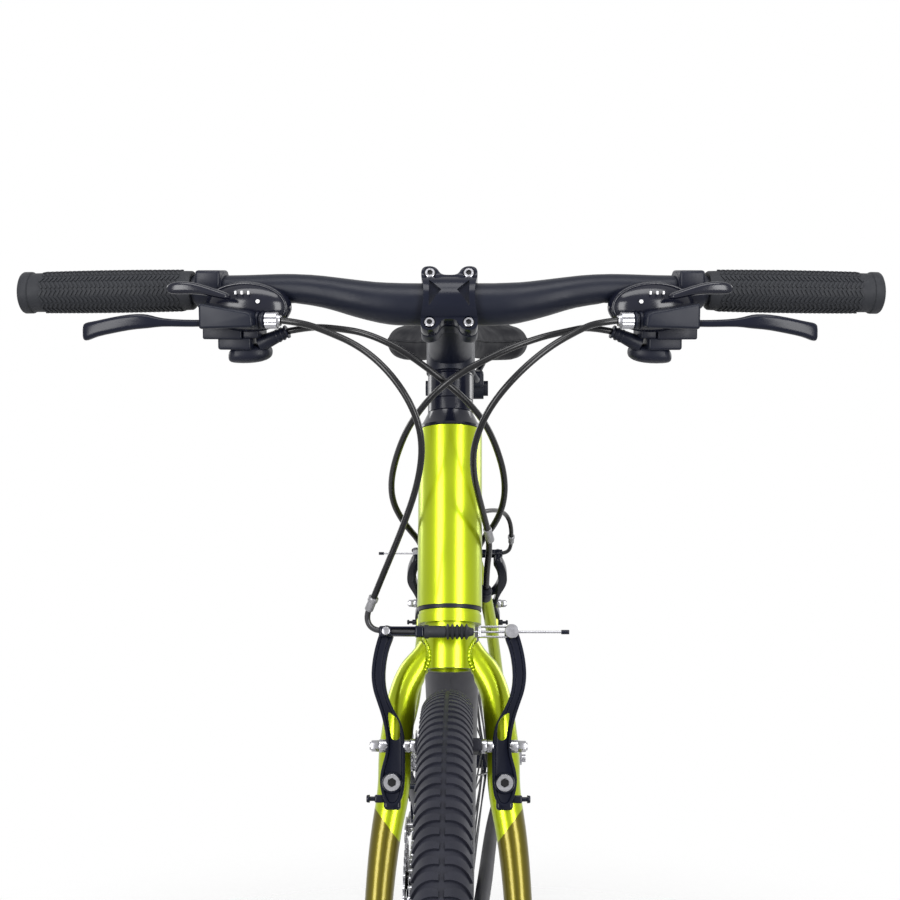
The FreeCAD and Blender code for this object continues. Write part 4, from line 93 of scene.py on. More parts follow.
class Finish:
    """A material under construction: its node tree and its Principled shader."""

    def __init__(self, name, color, **socket_shades):
        self.material = bpy.data.materials.new(name)
        self.material.use_nodes = True
        self.tree = self.material.node_tree
        self.shader = set_inputs(self.tree.nodes["Principled BSDF"], socket_shades)
        self.shader.inputs["Base Color"].default_value = (*color, 1.0)

    def group(self, tree, **values):
        node = add(self.tree, "Group")
        node.node_tree = tree
        return set_inputs(node, values)

    def rough(self, scale, low, high):
        mottle = self.group(MOTTLE, Scale=scale, Low=low, High=high)
        wire(self.tree, (mottle, "Value", self.shader, "Roughness"))
        return self

    def grain(self, scale, depth, strength):
        pebble = self.group(PEBBLE, Scale=scale)
        bump = add(self.tree, "Bump", Strength=strength, Distance=depth)
        wire(self.tree, (pebble, "Height", bump, "Height"), (bump, "Normal", self.shader, "Normal"))
        return self

    def tint(self, node, output, low, high):
        """Colour the surface between two shades by a node's output."""
        ramp = add(self.tree, "ValToRGB")
        for element, color in zip(ramp.color_ramp.elements, (low, high)):
            element.color = (*color, 1.0)
        wire(self.tree, (node, output, ramp, "Fac"), (ramp, "Color", self.shader, "Base Color"))
        return self


# %% [markdown]
# The camera stands in front of the bar, a little above it, and looks down by six degrees.
# A long lens keeps the head tube's sides nearly parallel, as a shop's picture of a bicycle does.
# A wide lens nearer by would fit the same width but would swell the tyre.

# %% Camera
LENS_PIXELS = 1728.0
IMAGE_PIXELS = 900.0
SENSOR = 36.0
CAMERA_PLACE = Vector((0.017, -1.6697, 0.9795))
CAMERA_PITCH = math.radians(90.0 - 5.95)
CAMERA_YAW = math.radians(0.73)

camera_data = bpy.data.cameras.new("camera")
camera_data.sensor_width = SENSOR
camera_data.lens = LENS_PIXELS * SENSOR / IMAGE_PIXELS
camera = put("camera", camera_data)
camera.location = CAMERA_PLACE
camera.rotation_euler = (CAMERA_PITCH, 0.0, CAMERA_YAW)
bpy.context.scene.camera = camera
bpy.context.scene.view_settings.view_transform = "Standard"
print("lens %.1f mm" % camera_data.lens)

# %% [markdown]
# A product studio: a pale floor, a white world for the eye, and large soft lamps.
# Two tall soft boxes in front draw the two bright bands down the head tube, and a top light
# models the bar. The floor is a plain sheet that only has to catch the shadow, so it fades out
# to the white of the world a little way from the wheels.

# %% Floor, world and lamps
FLOOR_HALF = 2.0
FADE_FROM = 0.55
FADE_TO = 1.25
WORLD_FILL = 0.12
HEAD = (0.0, -0.38, 0.8)
MIDDLE = (0.0, 0.0, 0.5)


def make_floor():
    mesh = bpy.data.meshes.new("floor")
    shape = bmesh.new()
    bmesh.ops.create_grid(shape, x_segments=1, y_segments=1, size=FLOOR_HALF)
    shape.to_mesh(mesh)
    shape.free()
    finish = Finish("pale_floor", (0.86, 0.86, 0.86), Roughness=0.8)
    coords = add(finish.tree, "TexCoord")
    away = add(finish.tree, "VectorMath", "LENGTH")
    fade = add(finish.tree, "MapRange", From_Min=FADE_FROM, From_Max=FADE_TO, To_Min=1.0, To_Max=0.0)
    fade.interpolation_type = "SMOOTHSTEP"
    wire(finish.tree, (coords, "Object", away, 0), (away, "Value", fade, "Value"),
         (fade, "Result", finish.shader, "Alpha"))
    mesh.materials.append(finish.material)
    put("floor", mesh)


def make_world():
    world = bpy.data.worlds.new("studio")
    bpy.context.scene.world = world
    world.use_nodes = True
    tree = world.node_tree
    background = set_inputs(tree.nodes["Background"], {"Color": (1, 1, 1, 1)})
    path = add(tree, "LightPath")
    through = add(tree, "Math", "MAXIMUM")
    seen = add(tree, "Math", "MAXIMUM")
    strength = add(tree, "MapRange", To_Min=WORLD_FILL, To_Max=1.0)
    wire(tree, (path, "Is Glossy Ray", through, 0), (path, "Is Transmission Ray", through, 1),
         (path, "Is Camera Ray", seen, 0), (through, 0, seen, 1), (seen, 0, strength, "Value"),
         (strength, "Result", background, "Strength"))


def soft_box(name, place, target, width, height, power):
    data = bpy.data.lights.new(name, "AREA")
    data.shape = "RECTANGLE"
    data.size = width
    data.size_y = height
    data.energy = power
    lamp = put(name, data)
    lamp.location = place
    lamp.rotation_euler = (Vector(target) - Vector(place)).to_track_quat("-Z", "Y").to_euler()


make_floor()
make_world()
soft_box("box_left", (-1.45, -2.15, 1.2), HEAD, 0.9, 1.8, 68.0)
soft_box("box_right", (1.45, -2.15, 1.2), HEAD, 0.9, 1.8, 68.0)
soft_box("box_top", (0.0, -0.9, 2.8), HEAD, 2.2, 0.9, 46.0)
soft_box("box_back_left", (-2.6, 1.8, 1.6), MIDDLE, 1.2, 1.8, 40.0)
soft_box("box_back_right", (2.6, 1.8, 1.6), MIDDLE, 1.2, 1.8, 40.0)
print("studio made")

# %% [markdown]
# Finishes that share an effect share a node group. The first group is a fine mottling, which
# breaks up the gloss of paint and metal. The second is the pebbled grain of moulded rubber and
# plastic. The third is the fine lines that turning and brushing leave on metal.

# %% Shared effects


def start_group(name, result, **inputs):
    """A group with number inputs and one number output, its end nodes and its coordinates."""
    group = bpy.data.node_groups.new(name, "ShaderNodeTree")
    for socket, value in inputs.items():
        item = group.interface.new_socket(socket, in_out="INPUT", socket_type="NodeSocketFloat")
        item.default_value = value
    group.interface.new_socket(result, in_out="OUTPUT", socket_type="NodeSocketFloat")
    entry = group.nodes.new("NodeGroupInput")
    leave = group.nodes.new("NodeGroupOutput")
    return group, entry, leave, add(group, "TexCoord")


def mottle_group():
    group, entry, leave, coords = start_group("mottle", "Value", Scale=40.0, Low=0.3, High=0.4)
    noise = add(group, "TexNoise", Detail=4.0)
    spread = add(group, "MapRange", From_Min=0.3, From_Max=0.7)
    wire(group, (coords, "Object", noise, "Vector"), (entry, "Scale", noise, "Scale"),
         (noise, "Fac", spread, "Value"), (entry, "Low", spread, "To Min"),
         (entry, "High", spread, "To Max"), (spread, "Result", leave, "Value"))
    return group


def pebble_group():
    group, entry, leave, coords = start_group("pebble", "Height", Scale=1500.0)
    cells = add(group, "TexVoronoi")
    cells.feature = "SMOOTH_F1"
    noise = add(group, "TexNoise", Detail=3.0)
    both = add(group, "Math", "MULTIPLY")
    for texture in (cells, noise):
        wire(group, (coords, "Object", texture, "Vector"), (entry, "Scale", texture, "Scale"))
    wire(group, (cells, "Distance", both, 0), (noise, "Fac", both, 1), (both, 0, leave, "Height"))
    return group


def brushed_group():
    group, entry, leave, coords = start_group("brushed", "Value", Across=30.0, Along=900.0)
    stretch = add(group, "VectorMath", "MULTIPLY")
    scale = add(group, "CombineXYZ")
    noise = add(group, "TexNoise", Scale=1.0, Detail=3.0)
    wire(group, (entry, "Across", scale, "X"), (entry, "Along", scale, "Y"), (entry, "Along", scale, "Z"),
         (coords, "Object", stretch, 0), (scale, "Vector", stretch, 1),
         (stretch, "Vector", noise, "Vector"), (noise, "Fac", leave, "Value"))
    return group


MOTTLE = mottle_group()
PEBBLE = pebble_group()
BRUSHED = brushed_group()
print("groups:", [group.name for group in (MOTTLE, PEBBLE, BRUSHED)])

# %% [markdown]
# The frame's lime paint is a metallic base under clear lacquer, and the lacquer is the shader's coat.
# The flakes are far too small to see, so they only widen the highlight. On the fork legs a bronze
# olive takes over below a slanting line. A small group works out which side of the line a point is.

# %% Paint
LIME = (0.29, 0.365, 0.002)
OLIVE = (0.085, 0.07, 0.002)
FORK_AXIS = (0.0, 0.3256, 0.9455)
FORK_FOOT = (0.0, -0.4896, 0.3294)
LEG_INSIDE = 0.031
LEG_OUTSIDE = 0.059
EDGE_HALF = 0.0004


def below_line_group():
    """1 on the fork legs' lower part, 0 above a line that drops towards the wheel."""
    group, entry, leave, coords = start_group("below_line", "Mask", Inner=0.229, Outer=0.266)
    offset = add(group, "VectorMath", "SUBTRACT")
    offset.inputs[1].default_value = FORK_FOOT
    height = add(group, "VectorMath", "DOT_PRODUCT")
    height.inputs[1].default_value = FORK_AXIS
    split = add(group, "SeparateXYZ")
    aside = add(group, "Math", "ABSOLUTE")
    line = add(group, "MapRange", From_Min=LEG_INSIDE, From_Max=LEG_OUTSIDE)
    over = add(group, "Math", "SUBTRACT")
    edge = add(group, "MapRange", From_Min=-EDGE_HALF, From_Max=EDGE_HALF, To_Min=1.0, To_Max=0.0)
    wire(group, (coords, "Object", offset, 0), (offset, "Vector", height, 0),
         (coords, "Object", split, "Vector"), (split, "X", aside, 0), (aside, 0, line, "Value"),
         (entry, "Inner", line, "To Min"), (entry, "Outer", line, "To Max"),
         (height, "Value", over, 0), (line, "Result", over, 1), (over, 0, edge, "Value"),
         (edge, "Result", leave, "Mask"))
    return group


def lime_paint(name):
    finish = Finish(name, LIME, Metallic=0.75, Specular_IOR_Level=0.3, Coat_Weight=0.25, Coat_Roughness=0.12)
    return finish.rough(20.0, 0.29, 0.31)


def fork_paint():
    finish = lime_paint("fork_paint")
    return finish.tint(finish.group(below_line_group()), "Mask", LIME, OLIVE)


FINISHES = {"lime_paint": lime_paint("lime_paint").material, "fork_paint": fork_paint().material}
print("paints:", list(FINISHES))

# %% [markdown]
# Most of the front end is black, but no two blacks are alike: satin anodised bar and stem, forged
# and painted brake arms, moulded plastic controls, and rubber. They differ in gloss and grain, so
# each is one row of a table: its colour, the range of its roughness, its grain and its two shades.

# %% Blacks, rubber and metal
RUBBER = dict(color=(0.011, 0.011, 0.014), rough=(90.0, 0.5, 0.66), grain=(1600.0, 0.00008, 0.5),
              shades=(60.0, (0.0075, 0.008, 0.0125), (0.0125, 0.013, 0.0195)), Specular_IOR_Level=0.14)
FORGED = dict(color=(0.0035, 0.0045, 0.0105), rough=(80.0, 0.18, 0.24), grain=(2400.0, 0.00003, 0.4),
              Specular_IOR_Level=0.16)
ROWS = {
    "charcoal_paint": dict(color=(0.03, 0.03, 0.036), rough=(40.0, 0.38, 0.48), Metallic=0.2,
                           shades=(30.0, (0.016, 0.016, 0.02), (0.02, 0.02, 0.026)), Specular_IOR_Level=0.2),
    "satin_black": dict(color=(0.004, 0.0052, 0.011), rough=(60.0, 0.36, 0.44), grain=(4200.0, 0.00002, 0.35),
                        Specular_IOR_Level=0.16),
    "forged_black": FORGED,
    "grip_rubber": dict(color=(0.015, 0.016, 0.019), rough=(160.0, 0.55, 0.7), grain=(3000.0, 0.00006, 0.6),
                        Specular_IOR_Level=0.16),
    "pad_rubber": RUBBER,
    "tyre_rubber": RUBBER,
    "saddle_cover": dict(color=(0.004, 0.0042, 0.0065), rough=(70.0, 0.42, 0.58), grain=(900.0, 0.0002, 0.6),
                         Specular_IOR_Level=0.04),
    "black_plastic": dict(color=(0.005, 0.006, 0.012), rough=(120.0, 0.34, 0.46),
                          grain=(2600.0, 0.00004, 0.5), Specular_IOR_Level=0.16),
    "gloss_black": dict(color=(0.004, 0.0046, 0.01), rough=(50.0, 0.14, 0.22), Specular_IOR_Level=0.28),
    "cable_sheath": dict(color=(0.005, 0.005, 0.006), rough=(200.0, 0.22, 0.3), Specular_IOR_Level=0.25),
    "rim_black": FORGED,
    "spoke_steel": dict(color=(0.03, 0.03, 0.033), rough=(200.0, 0.3, 0.42), Metallic=0.6),
    "grey_cap": dict(color=(0.2, 0.2, 0.21), rough=(300.0, 0.3, 0.4), Metallic=0.5),
    "white_mark": dict(color=(0.75, 0.75, 0.76), rough=(300.0, 0.45, 0.55)),
}


def plain_finish(name, color, rough, grain=None, shades=None, **socket_shades):
    finish = Finish(name, color, **socket_shades).rough(*rough)
    if grain:
        finish.grain(*grain)
    if shades:
        scale, low, high = shades
        finish.tint(finish.group(MOTTLE, Scale=scale, Low=0.0, High=1.0), "Value", low, high)
    return finish.material


def bright_steel():
    finish = Finish("bright_steel", (0.32, 0.32, 0.34), Metallic=1.0).rough(300.0, 0.22, 0.34)
    lines = finish.group(BRUSHED, Across=60.0, Along=1400.0)
    return finish.tint(lines, "Value", (0.24, 0.24, 0.26), (0.38, 0.38, 0.4)).material


for finish_name, row in ROWS.items():
    FINISHES[finish_name] = plain_finish(finish_name, **row)
FINISHES["bright_steel"] = bright_steel()
print("finishes:", len(FINISHES))

# %% [markdown]
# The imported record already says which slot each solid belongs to, so one loop dresses them all.

# %% Dress the solids
for row in frame["record"]["subparts"]:
    node = NODES[row["node"]]
    node.data.materials.clear()
    node.data.materials.append(FINISHES[row["material_slot"]])
NODES["fork_blades"].data.materials[0] = FINISHES["fork_paint"]

# %% [markdown]
# New pieces are drawn in millimetres, because bicycle parts are measured in them, and scaled to
# metres once, when the mesh is made. Points that belong to the steering are drawn upright and then
# leaned back with the head tube, so a height is always a height along the steerer.

# %% Frames and helpers
MM = 0.001
STEERING = Matrix.Translation((0.0, -489.615, 329.373)) @ Matrix.Rotation(math.radians(-19.0), 4, "X")
BAR = Matrix.Translation((0.0, -369.116, 953.706))
CONTROL = BAR @ Matrix.Translation((174.0, 17.845, 10.556)) @ Matrix.Rotation(math.radians(9.0), 4, "Z")
MIRROR = Matrix.Scale(-1.0, 4, (1, 0, 0))
REAR_BRAKE = (Matrix.Translation((0.0, 535.0, 345.0)) @ Matrix.Rotation(math.pi, 4, "Z")
              @ Matrix.Rotation(math.radians(-43.1024), 4, "X"))
BEVEL = dict(offset_type="OFFSET", affect="EDGES", profile=0.5, material=-1, clamp_overlap=True)


def verts_of(geometry):
    return [item for item in geometry if isinstance(item, bmesh.types.BMVert)]


def faces_of(geometry):
    return [item for item in geometry if isinstance(item, bmesh.types.BMFace)]


def move(shape, matrix):
    bmesh.ops.transform(shape, matrix=matrix, verts=shape.verts)


def inset(shape, faces, thickness, depth):
    bmesh.ops.inset_region(shape, faces=faces, thickness=thickness, depth=depth, use_even_offset=True)


def mesh_of(name, shape):
    """A mesh from a bmesh, with its faces turned outwards."""
    bmesh.ops.recalc_face_normals(shape, faces=shape.faces)
    mesh = bpy.data.meshes.new(name)
    shape.to_mesh(mesh)
    shape.free()
    return mesh


def new_piece(name, shape, finish, body, slot=None, angle=38.0, stands_for=()):
    """Turn a bmesh in millimetres into a finished object that rides on a body."""
    bmesh.ops.scale(shape, vec=(MM, MM, MM), verts=shape.verts)
    mesh = mesh_of(name, shape)
    mesh.shade_smooth()
    mesh.set_sharp_from_angle(angle=math.radians(angle))
    mesh.materials.append(FINISHES[finish])
    piece = put(name, mesh)
    if body:
        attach(piece, body)
    if stands_for:
        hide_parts(*stands_for)
    return piece


def subdivided(piece):
    smooth = piece.modifiers.new("smooth", "SUBSURF")
    smooth.levels = 1
    smooth.render_levels = 1


def block(shape, low, high, place=Matrix(), round_by=0.0, segments=3):
    """A box from corner to corner with rounded edges."""
    low, high = Vector(low), Vector(high)
    made = bmesh.ops.create_cube(shape, size=1.0)["verts"]
    bmesh.ops.scale(shape, vec=high - low, verts=made)
    bmesh.ops.translate(shape, vec=(low + high) / 2, verts=made)
    faces = {face for vert in made for face in vert.link_faces}
    if round_by > 0.0:
        edges = list({edge for vert in made for edge in vert.link_edges})
        out = bmesh.ops.bevel(shape, geom=edges, offset=round_by, segments=segments, **BEVEL)
        faces = {face for face in faces if face.is_valid} | set(out["faces"])
    bmesh.ops.transform(shape, matrix=place, verts=list({vert for face in faces for vert in face.verts}))


def rod(shape, start, end, radius, end_radius=None, place=Matrix(), segments=24, round_by=0.0):
    """A closed round bar or cone between two points."""
    start, end = Vector(start), Vector(end)
    if end_radius is None:
        end_radius = radius
    made = bmesh.ops.create_cone(shape, cap_ends=True, segments=segments, radius1=radius,
                                 radius2=end_radius, depth=(end - start).length)["verts"]
    turn = (end - start).to_track_quat("Z", "Y").to_matrix().to_4x4()
    bmesh.ops.transform(shape, matrix=place @ Matrix.Translation((start + end) / 2) @ turn, verts=made)
    if round_by > 0.0:
        rims = list({edge for vert in made for edge in vert.link_edges if len(edge.link_faces) == 2
                     and any(len(face.verts) > 4 for face in edge.link_faces)})
        bmesh.ops.bevel(shape, geom=rims, offset=round_by, segments=2, **BEVEL)
    return made


def ball(shape, centre, radii, segments=40, rings=24):
    """An egg-shaped body."""
    place = Matrix.Translation(centre) @ Matrix.Diagonal((*radii, 1.0))
    bmesh.ops.create_uvsphere(shape, u_segments=segments, v_segments=rings, radius=1.0, matrix=place)


def along_frame(centre, heading):
    """A frame at a point whose Z axis runs along a heading and whose X axis stays level."""
    along = heading.normalized()
    side = Vector((0, 0, 1)).cross(along).normalized()
    return Matrix.Translation(centre) @ Matrix((side, along.cross(side), along)).transposed().to_4x4()


def loft(shape, sections, place=Matrix(), sides=20, squareness=2.6):
    """A tube whose rounded-square section changes along its way.

    Each section is (centre, heading, width, height); heading is the way the tube runs there.
    """
    ring = bmesh.ops.create_circle(shape, cap_ends=False, segments=sides, radius=1.0)["verts"]
    for vert in ring:
        across, up = abs(vert.co.x), abs(vert.co.y)
        vert.co *= (across ** squareness + up ** squareness) ** (-1.0 / squareness)
    bmesh.ops.contextual_create(shape, geom=ring)
    edges = list({edge for vert in ring for edge in vert.link_edges})
    last = Matrix()
    for index, (centre, heading, width, height) in enumerate(sections):
        size = Matrix.Diagonal((width / 2, height / 2, 1.0, 1.0))
        here = place @ along_frame(Vector(centre), Vector(heading)) @ size
        if index > 0:
            out = bmesh.ops.extrude_edge_only(shape, edges=edges)["geom"]
            ring = verts_of(out)
            edges = [item for item in out if isinstance(item, bmesh.types.BMEdge)]
        bmesh.ops.transform(shape, matrix=here @ last.inverted(), verts=ring)
        last = here
    bmesh.ops.contextual_create(shape, geom=ring)


def spin_line(shape, points, axis, steps):
    """Spin an open line of points once round an axis through the origin."""
    verts = [shape.verts.new(point) for point in points]
    edges = [shape.edges.new(ends) for ends in zip(verts, verts[1:])]
    bmesh.ops.spin(shape, geom=verts + edges, cent=(0, 0, 0), axis=axis, dvec=(0, 0, 0), angle=2 * math.pi,
                   steps=steps, use_merge=True, use_duplicate=False)


def both_sides(shape):
    """Add the mirror image across the bicycle's middle."""
    copy = bmesh.ops.duplicate(shape, geom=shape.verts[:] + shape.edges[:] + shape.faces[:])["geom"]
    bmesh.ops.transform(shape, matrix=MIRROR, verts=verts_of(copy))
    bmesh.ops.reverse_faces(shape, faces=faces_of(copy))


# %% [markdown]
# Brake and gear cables are springy steel in a black sheath, so each one runs in a single smooth
# sweep. A NURBS spline along the solids' route points gives that sweep. The front brake's housing
# turns with the bar. The other three go from the bar to the frame and are set in place as they lie,
# on no body.

# %% Cable housings
HOUSING_RADIUS = 2.5
ROUTES = {
    "front_brake_housing": [
        (-124.4, -389.5, 942.3), (-109.0, -394.0, 940.8), (-92.0, -406.0, 936.0), (-64.0, -423.0, 925.0),
        (-42.0, -433.0, 907.0), (-25.0, -437.0, 882.0), (-18.0, -433.0, 856.0), (-22.0, -425.0, 825.0),
        (-35.0, -416.0, 788.0), (-48.3, -408.8, 756.2), (-56.0, -402.2, 736.7)],
    "rear_gear_housing": [
        (-122.6, -359.4, 933.3), (-104.0, -365.0, 937.0), (-84.0, -388.0, 936.5), (-61.0, -398.5, 933.5),
        (-35.0, -404.5, 922.0), (-6.0, -402.0, 900.5), (18.0, -392.0, 879.0), (33.0, -376.0, 855.0),
        (44.0, -351.0, 817.0), (39.0, -331.0, 786.0), (20.0, -313.8, 760.6), (20.0, -299.3, 744.7)],
    "front_gear_housing": [
        (122.6, -359.4, 933.3), (104.0, -365.0, 937.0), (88.0, -387.0, 934.5), (65.0, -402.0, 930.0),
        (36.0, -410.5, 919.5), (-3.0, -412.5, 898.5), (-29.0, -397.0, 868.0), (-43.0, -367.0, 832.0),
        (-46.0, -342.0, 805.0), (-38.0, -329.0, 784.0), (-20.0, -313.8, 760.6), (-20.0, -299.3, 744.7)],
    "rear_brake_housing": [
        (124.4, -389.5, 942.3), (109.0, -394.0, 940.8), (96.0, -407.0, 936.5), (72.0, -421.0, 924.0),
        (48.0, -430.0, 904.0), (28.0, -428.0, 879.0), (18.0, -416.5, 852.0), (18.0, -396.0, 828.0),
        (24.5, -368.0, 799.5), (31.5, -341.0, 770.0), (28.6, -317.5, 740.9), (28.6, -303.1, 725.0)],
}


def tube(name, points, radius, finish, body=None):
    """A mesh tube round the smooth line that a route's points give."""
    curve = bpy.data.curves.new("route", "CURVE")
    curve.dimensions = "3D"
    curve.resolution_u = 10
    curve.bevel_depth = radius * MM
    curve.bevel_resolution = 4
    curve.use_fill_caps = True
    spline = curve.splines.new("NURBS")
    spline.points.add(len(points) - 1)
    for spot, point in zip(spline.points, points):
        spot.co = (*(Vector(point) * MM), 1.0)
    spline.order_u = 3
    spline.use_endpoint_u = True
    line = put(name + "_line", curve)
    mesh = bpy.data.meshes.new_from_object(line.evaluated_get(bpy.context.evaluated_depsgraph_get()))
    bpy.data.objects.remove(line)
    bpy.data.curves.remove(curve)
    mesh.name = name
    mesh.shade_smooth()
    mesh.materials.clear()
    mesh.materials.append(FINISHES[finish])
    piece = put(name, mesh)
    if body:
        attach(piece, body)
    return piece


for route_name, route in ROUTES.items():
    turns_with_bar = route_name == "front_brake_housing"
    cable_name = "front_brake_cable" if turns_with_bar else route_name + "_cable"
    cable = tube(cable_name, route, HOUSING_RADIUS, "cable_sheath")
    if turns_with_bar:
        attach(cable, "steering")
        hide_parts("front_brake_housing")
    else:
        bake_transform(cable)
        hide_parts("crossing_housings")
print("cables:", len(ROUTES))

# %% [markdown]
# The tyre is a round casing with a raised tread: on each side of a narrow middle groove, arched ribs
# that fall away towards the shoulder. The casing is one profile spun round the axle. One pair of
# ribs is shaped on the casing and spun as copies, all being alike.

# %% Tyres
AXLE_Y = 535.0
TYRE_RADIUS = 345.0
TYRE_HALF = 17.5
RING_RADIUS = TYRE_RADIUS - TYRE_HALF
TREAD_DEPTH = 1.5
RIB_COUNT = 190
RIB_FROM = 0.09
RIB_TO = 1.22
RIB_ARCH = 2.8
RIB_DROP = 4.6
RIB_WIDTH = 6.8
LIP_ANGLE = math.radians(123.0)
CASING_STEPS = 24
BEAD_X = 9.6
BEAD_Z = RING_RADIUS - 17.0


def on_casing(angle, lift=0.0):
    """A point of the tyre's section: angle is 0 at the tread's middle, lift is above the casing."""
    reach = TYRE_HALF - TREAD_DEPTH + lift
    spread = TYRE_HALF - 0.25 * TREAD_DEPTH * math.cos(angle) ** 2
    return Vector((spread * math.sin(angle), 0.0, RING_RADIUS + reach * math.cos(angle)))


def casing(shape):
    angles = [-LIP_ANGLE + 2 * LIP_ANGLE * step / CASING_STEPS for step in range(CASING_STEPS + 1)]
    points = [(-BEAD_X, 0.0, BEAD_Z)] + [on_casing(angle) for angle in angles] + [(BEAD_X, 0.0, BEAD_Z)]
    spin_line(shape, points, (1, 0, 0), 180)


def rib(shape, side):
    """One tread rib: an arched strip from near the middle out to the shoulder."""
    grid = bmesh.ops.create_grid(shape, x_segments=8, y_segments=1, size=1.0)["verts"]
    for vert in grid:
        share = (vert.co.x + 1) / 2
        angle = RIB_FROM + (RIB_TO - RIB_FROM) * share
        arch = math.sin(math.pi * share)
        width = RIB_WIDTH * (0.72 + 0.28 * arch)
        along = RIB_DROP * share ** 1.7 - RIB_ARCH * arch + width / 2 * vert.co.y
        vert.co = Matrix.Rotation(along / TYRE_RADIUS, 4, "X") @ on_casing(side * angle, -0.3)
    faces = list({face for vert in grid for face in vert.link_faces})
    out = bmesh.ops.extrude_face_region(shape, geom=faces)["geom"]
    for vert in verts_of(out):
        wheelwards = Vector((0, vert.co.y, vert.co.z))
        outwards = wheelwards.normalized() * (wheelwards.length - RING_RADIUS)
        outwards.x = vert.co.x
        vert.co += outwards.normalized() * (TREAD_DEPTH + 0.25)
    inset(shape, faces_of(out), 0.45, 0.0)


def make_tyre(name, node, body, axle_y):
    shape = bmesh.new()
    for side in (-1, 1):
        rib(shape, side)
    geometry = shape.verts[:] + shape.edges[:] + shape.faces[:]
    bmesh.ops.spin(shape, geom=geometry, cent=(0, 0, 0), axis=(1, 0, 0), dvec=(0, 0, 0),
                   angle=2 * math.pi * (1 - 1 / RIB_COUNT), steps=RIB_COUNT - 1, use_duplicate=True)
    casing(shape)
    bmesh.ops.translate(shape, vec=(0, axle_y, TYRE_RADIUS), verts=shape.verts)
    tyre = new_piece(name, shape, "tyre_rubber", body, stands_for=[node])
    print(name, len(tyre.data.polygons), "faces")


make_tyre("front_tyre_tread", "front_tyre", "front_wheel", -AXLE_Y)
make_tyre("rear_tyre_tread", "rear_tyre", "rear_wheel", AXLE_Y)

# %% [markdown]
# Each grip is a rubber sleeve with a herringbone of small raised bars, a plain collar at its outer
# end and a plain sleeve end by the controls. The sleeve is a spun profile. The bars are tiny boxes
# sunk halfway into the sleeve, each a little narrower at its top.

# %% Grips
GRIP_START = 195.0
GRIP_END = 330.0
GRIP_RADIUS = 16.3
BAR_STEP = 3.6
BAR_SIZE = (1.7, 5.4, 1.75, 1.0)
BAR_TAPER = (0.86, 0.86, 0.8)
ROW_COUNT = 18
ROW_PITCH = 2 * math.pi / ROW_COUNT
BAR_LEAN = math.radians(34.0)
SLEEVE_FROM = 8.0
SLEEVE_ENDS = 19.0


def bar_point(x):
    beyond = x - 115.0
    return Vector((x, 8.5 + beyond * math.tan(math.radians(9.0)), 11.5 - 0.016 * beyond))


def sleeve_radius(share):
    return GRIP_RADIUS - 1.3 + 0.5 * math.sin(math.pi * share)


def grip_sleeve(shape, length):
    profile = [(11.4, 0.0), (13.9, 0.0), (14.8, 1.2), (15.0, 7.0)]
    shares = [step / 8 for step in range(9)]
    profile += [(sleeve_radius(share), SLEEVE_FROM + (length - SLEEVE_ENDS) * share) for share in shares]
    profile += [(15.0, length - 7.6), (15.9, length - 7.0), (16.1, length - 6.2), (16.1, length - 0.8),
                (15.5, length + 0.2), (14.4, length + 0.8), (12.0, length + 1.4), (0.0, length + 1.6)]
    spin_line(shape, [(radius, 0.0, z) for radius, z in profile], (0, 0, 1), 48)
    bmesh.ops.remove_doubles(shape, verts=shape.verts, dist=0.001)


def herringbone(shape, length):
    for row in range(ROW_COUNT):
        lean = BAR_LEAN if row % 2 else -BAR_LEAN
        turn = Matrix.Rotation(row * ROW_PITCH, 4, "Z")
        for index in range(int((length - 23.0) / BAR_STEP)):
            z = 10.0 + BAR_STEP * index
            reach = sleeve_radius((z - SLEEVE_FROM) / (length - SLEEVE_ENDS))
            spot = (turn @ Matrix.Translation((reach, 0.0, z)) @ Matrix.Rotation(lean, 4, "X")
                    @ Matrix.Diagonal(BAR_SIZE))
            made = bmesh.ops.create_cube(shape, size=1.0, matrix=spot)["verts"]
            outer = [vert for vert in made if (turn.inverted() @ vert.co).x > reach]
            middle = sum((vert.co for vert in outer), Vector()) / len(outer)
            bmesh.ops.scale(shape, vec=BAR_TAPER, space=Matrix.Translation(-middle), verts=outer)


def make_grips():
    run = bar_point(GRIP_END) - bar_point(GRIP_START)
    shape = bmesh.new()
    grip_sleeve(shape, run.length)
    herringbone(shape, run.length)
    move(shape, BAR @ along_frame(bar_point(GRIP_START), run))
    both_sides(shape)
    grips = new_piece("grip_sleeves", shape, "grip_rubber", "steering", stands_for=["grips"])
    print("grips", len(grips.data.polygons), "faces")


make_grips()

# %% [markdown]
# The brake arms are forgings: a bowed outline, a sunk face that leaves a raised rim down both
# edges, and a long window over the pad. A flat outline is extruded, its front face is inset and
# sunk, the window is cut through with a Boolean, and a small bevel rounds what a hammer die rounds.

# %% Brake arms
STUD_X = 41.5
STUD_Z = 279.0
PAD_Y = -27.0
PAD_Z = 306.0
ARM_TOP_X = 47.0
ARM_TOP_Z = 390.0
ARM_FRONT = -31.5
ARM_BACK = -22.5
SCREW_Z = 267.5
ARM_OUTER = [(38.0, 262.0), (34.0, 268.0), (32.2, 279.0), (32.3, 292.0), (32.4, 308.0), (33.8, 318.5),
             (36.6, 325.5), (41.8, 334.0), (46.0, 344.0), (47.9, 355.0), (47.4, 367.0), (45.4, 378.0),
             (41.8, 387.0), (41.9, 392.2), (45.6, 395.8), (50.2, 394.6), (53.6, 386.0), (57.0, 372.0),
             (58.2, 358.0), (56.6, 347.0), (53.4, 338.0), (50.2, 329.0), (47.6, 319.0), (46.2, 309.0),
             (46.6, 300.0), (48.6, 293.0), (50.2, 286.0), (50.8, 279.0), (48.6, 268.5), (44.6, 262.0)]
WINDOW = [(45.8, 331.4), (42.2, 329.6), (36.8, 324.0), (36.0, 316.0), (36.2, 310.4), (42.2, 309.8),
          (43.8, 318.0)]


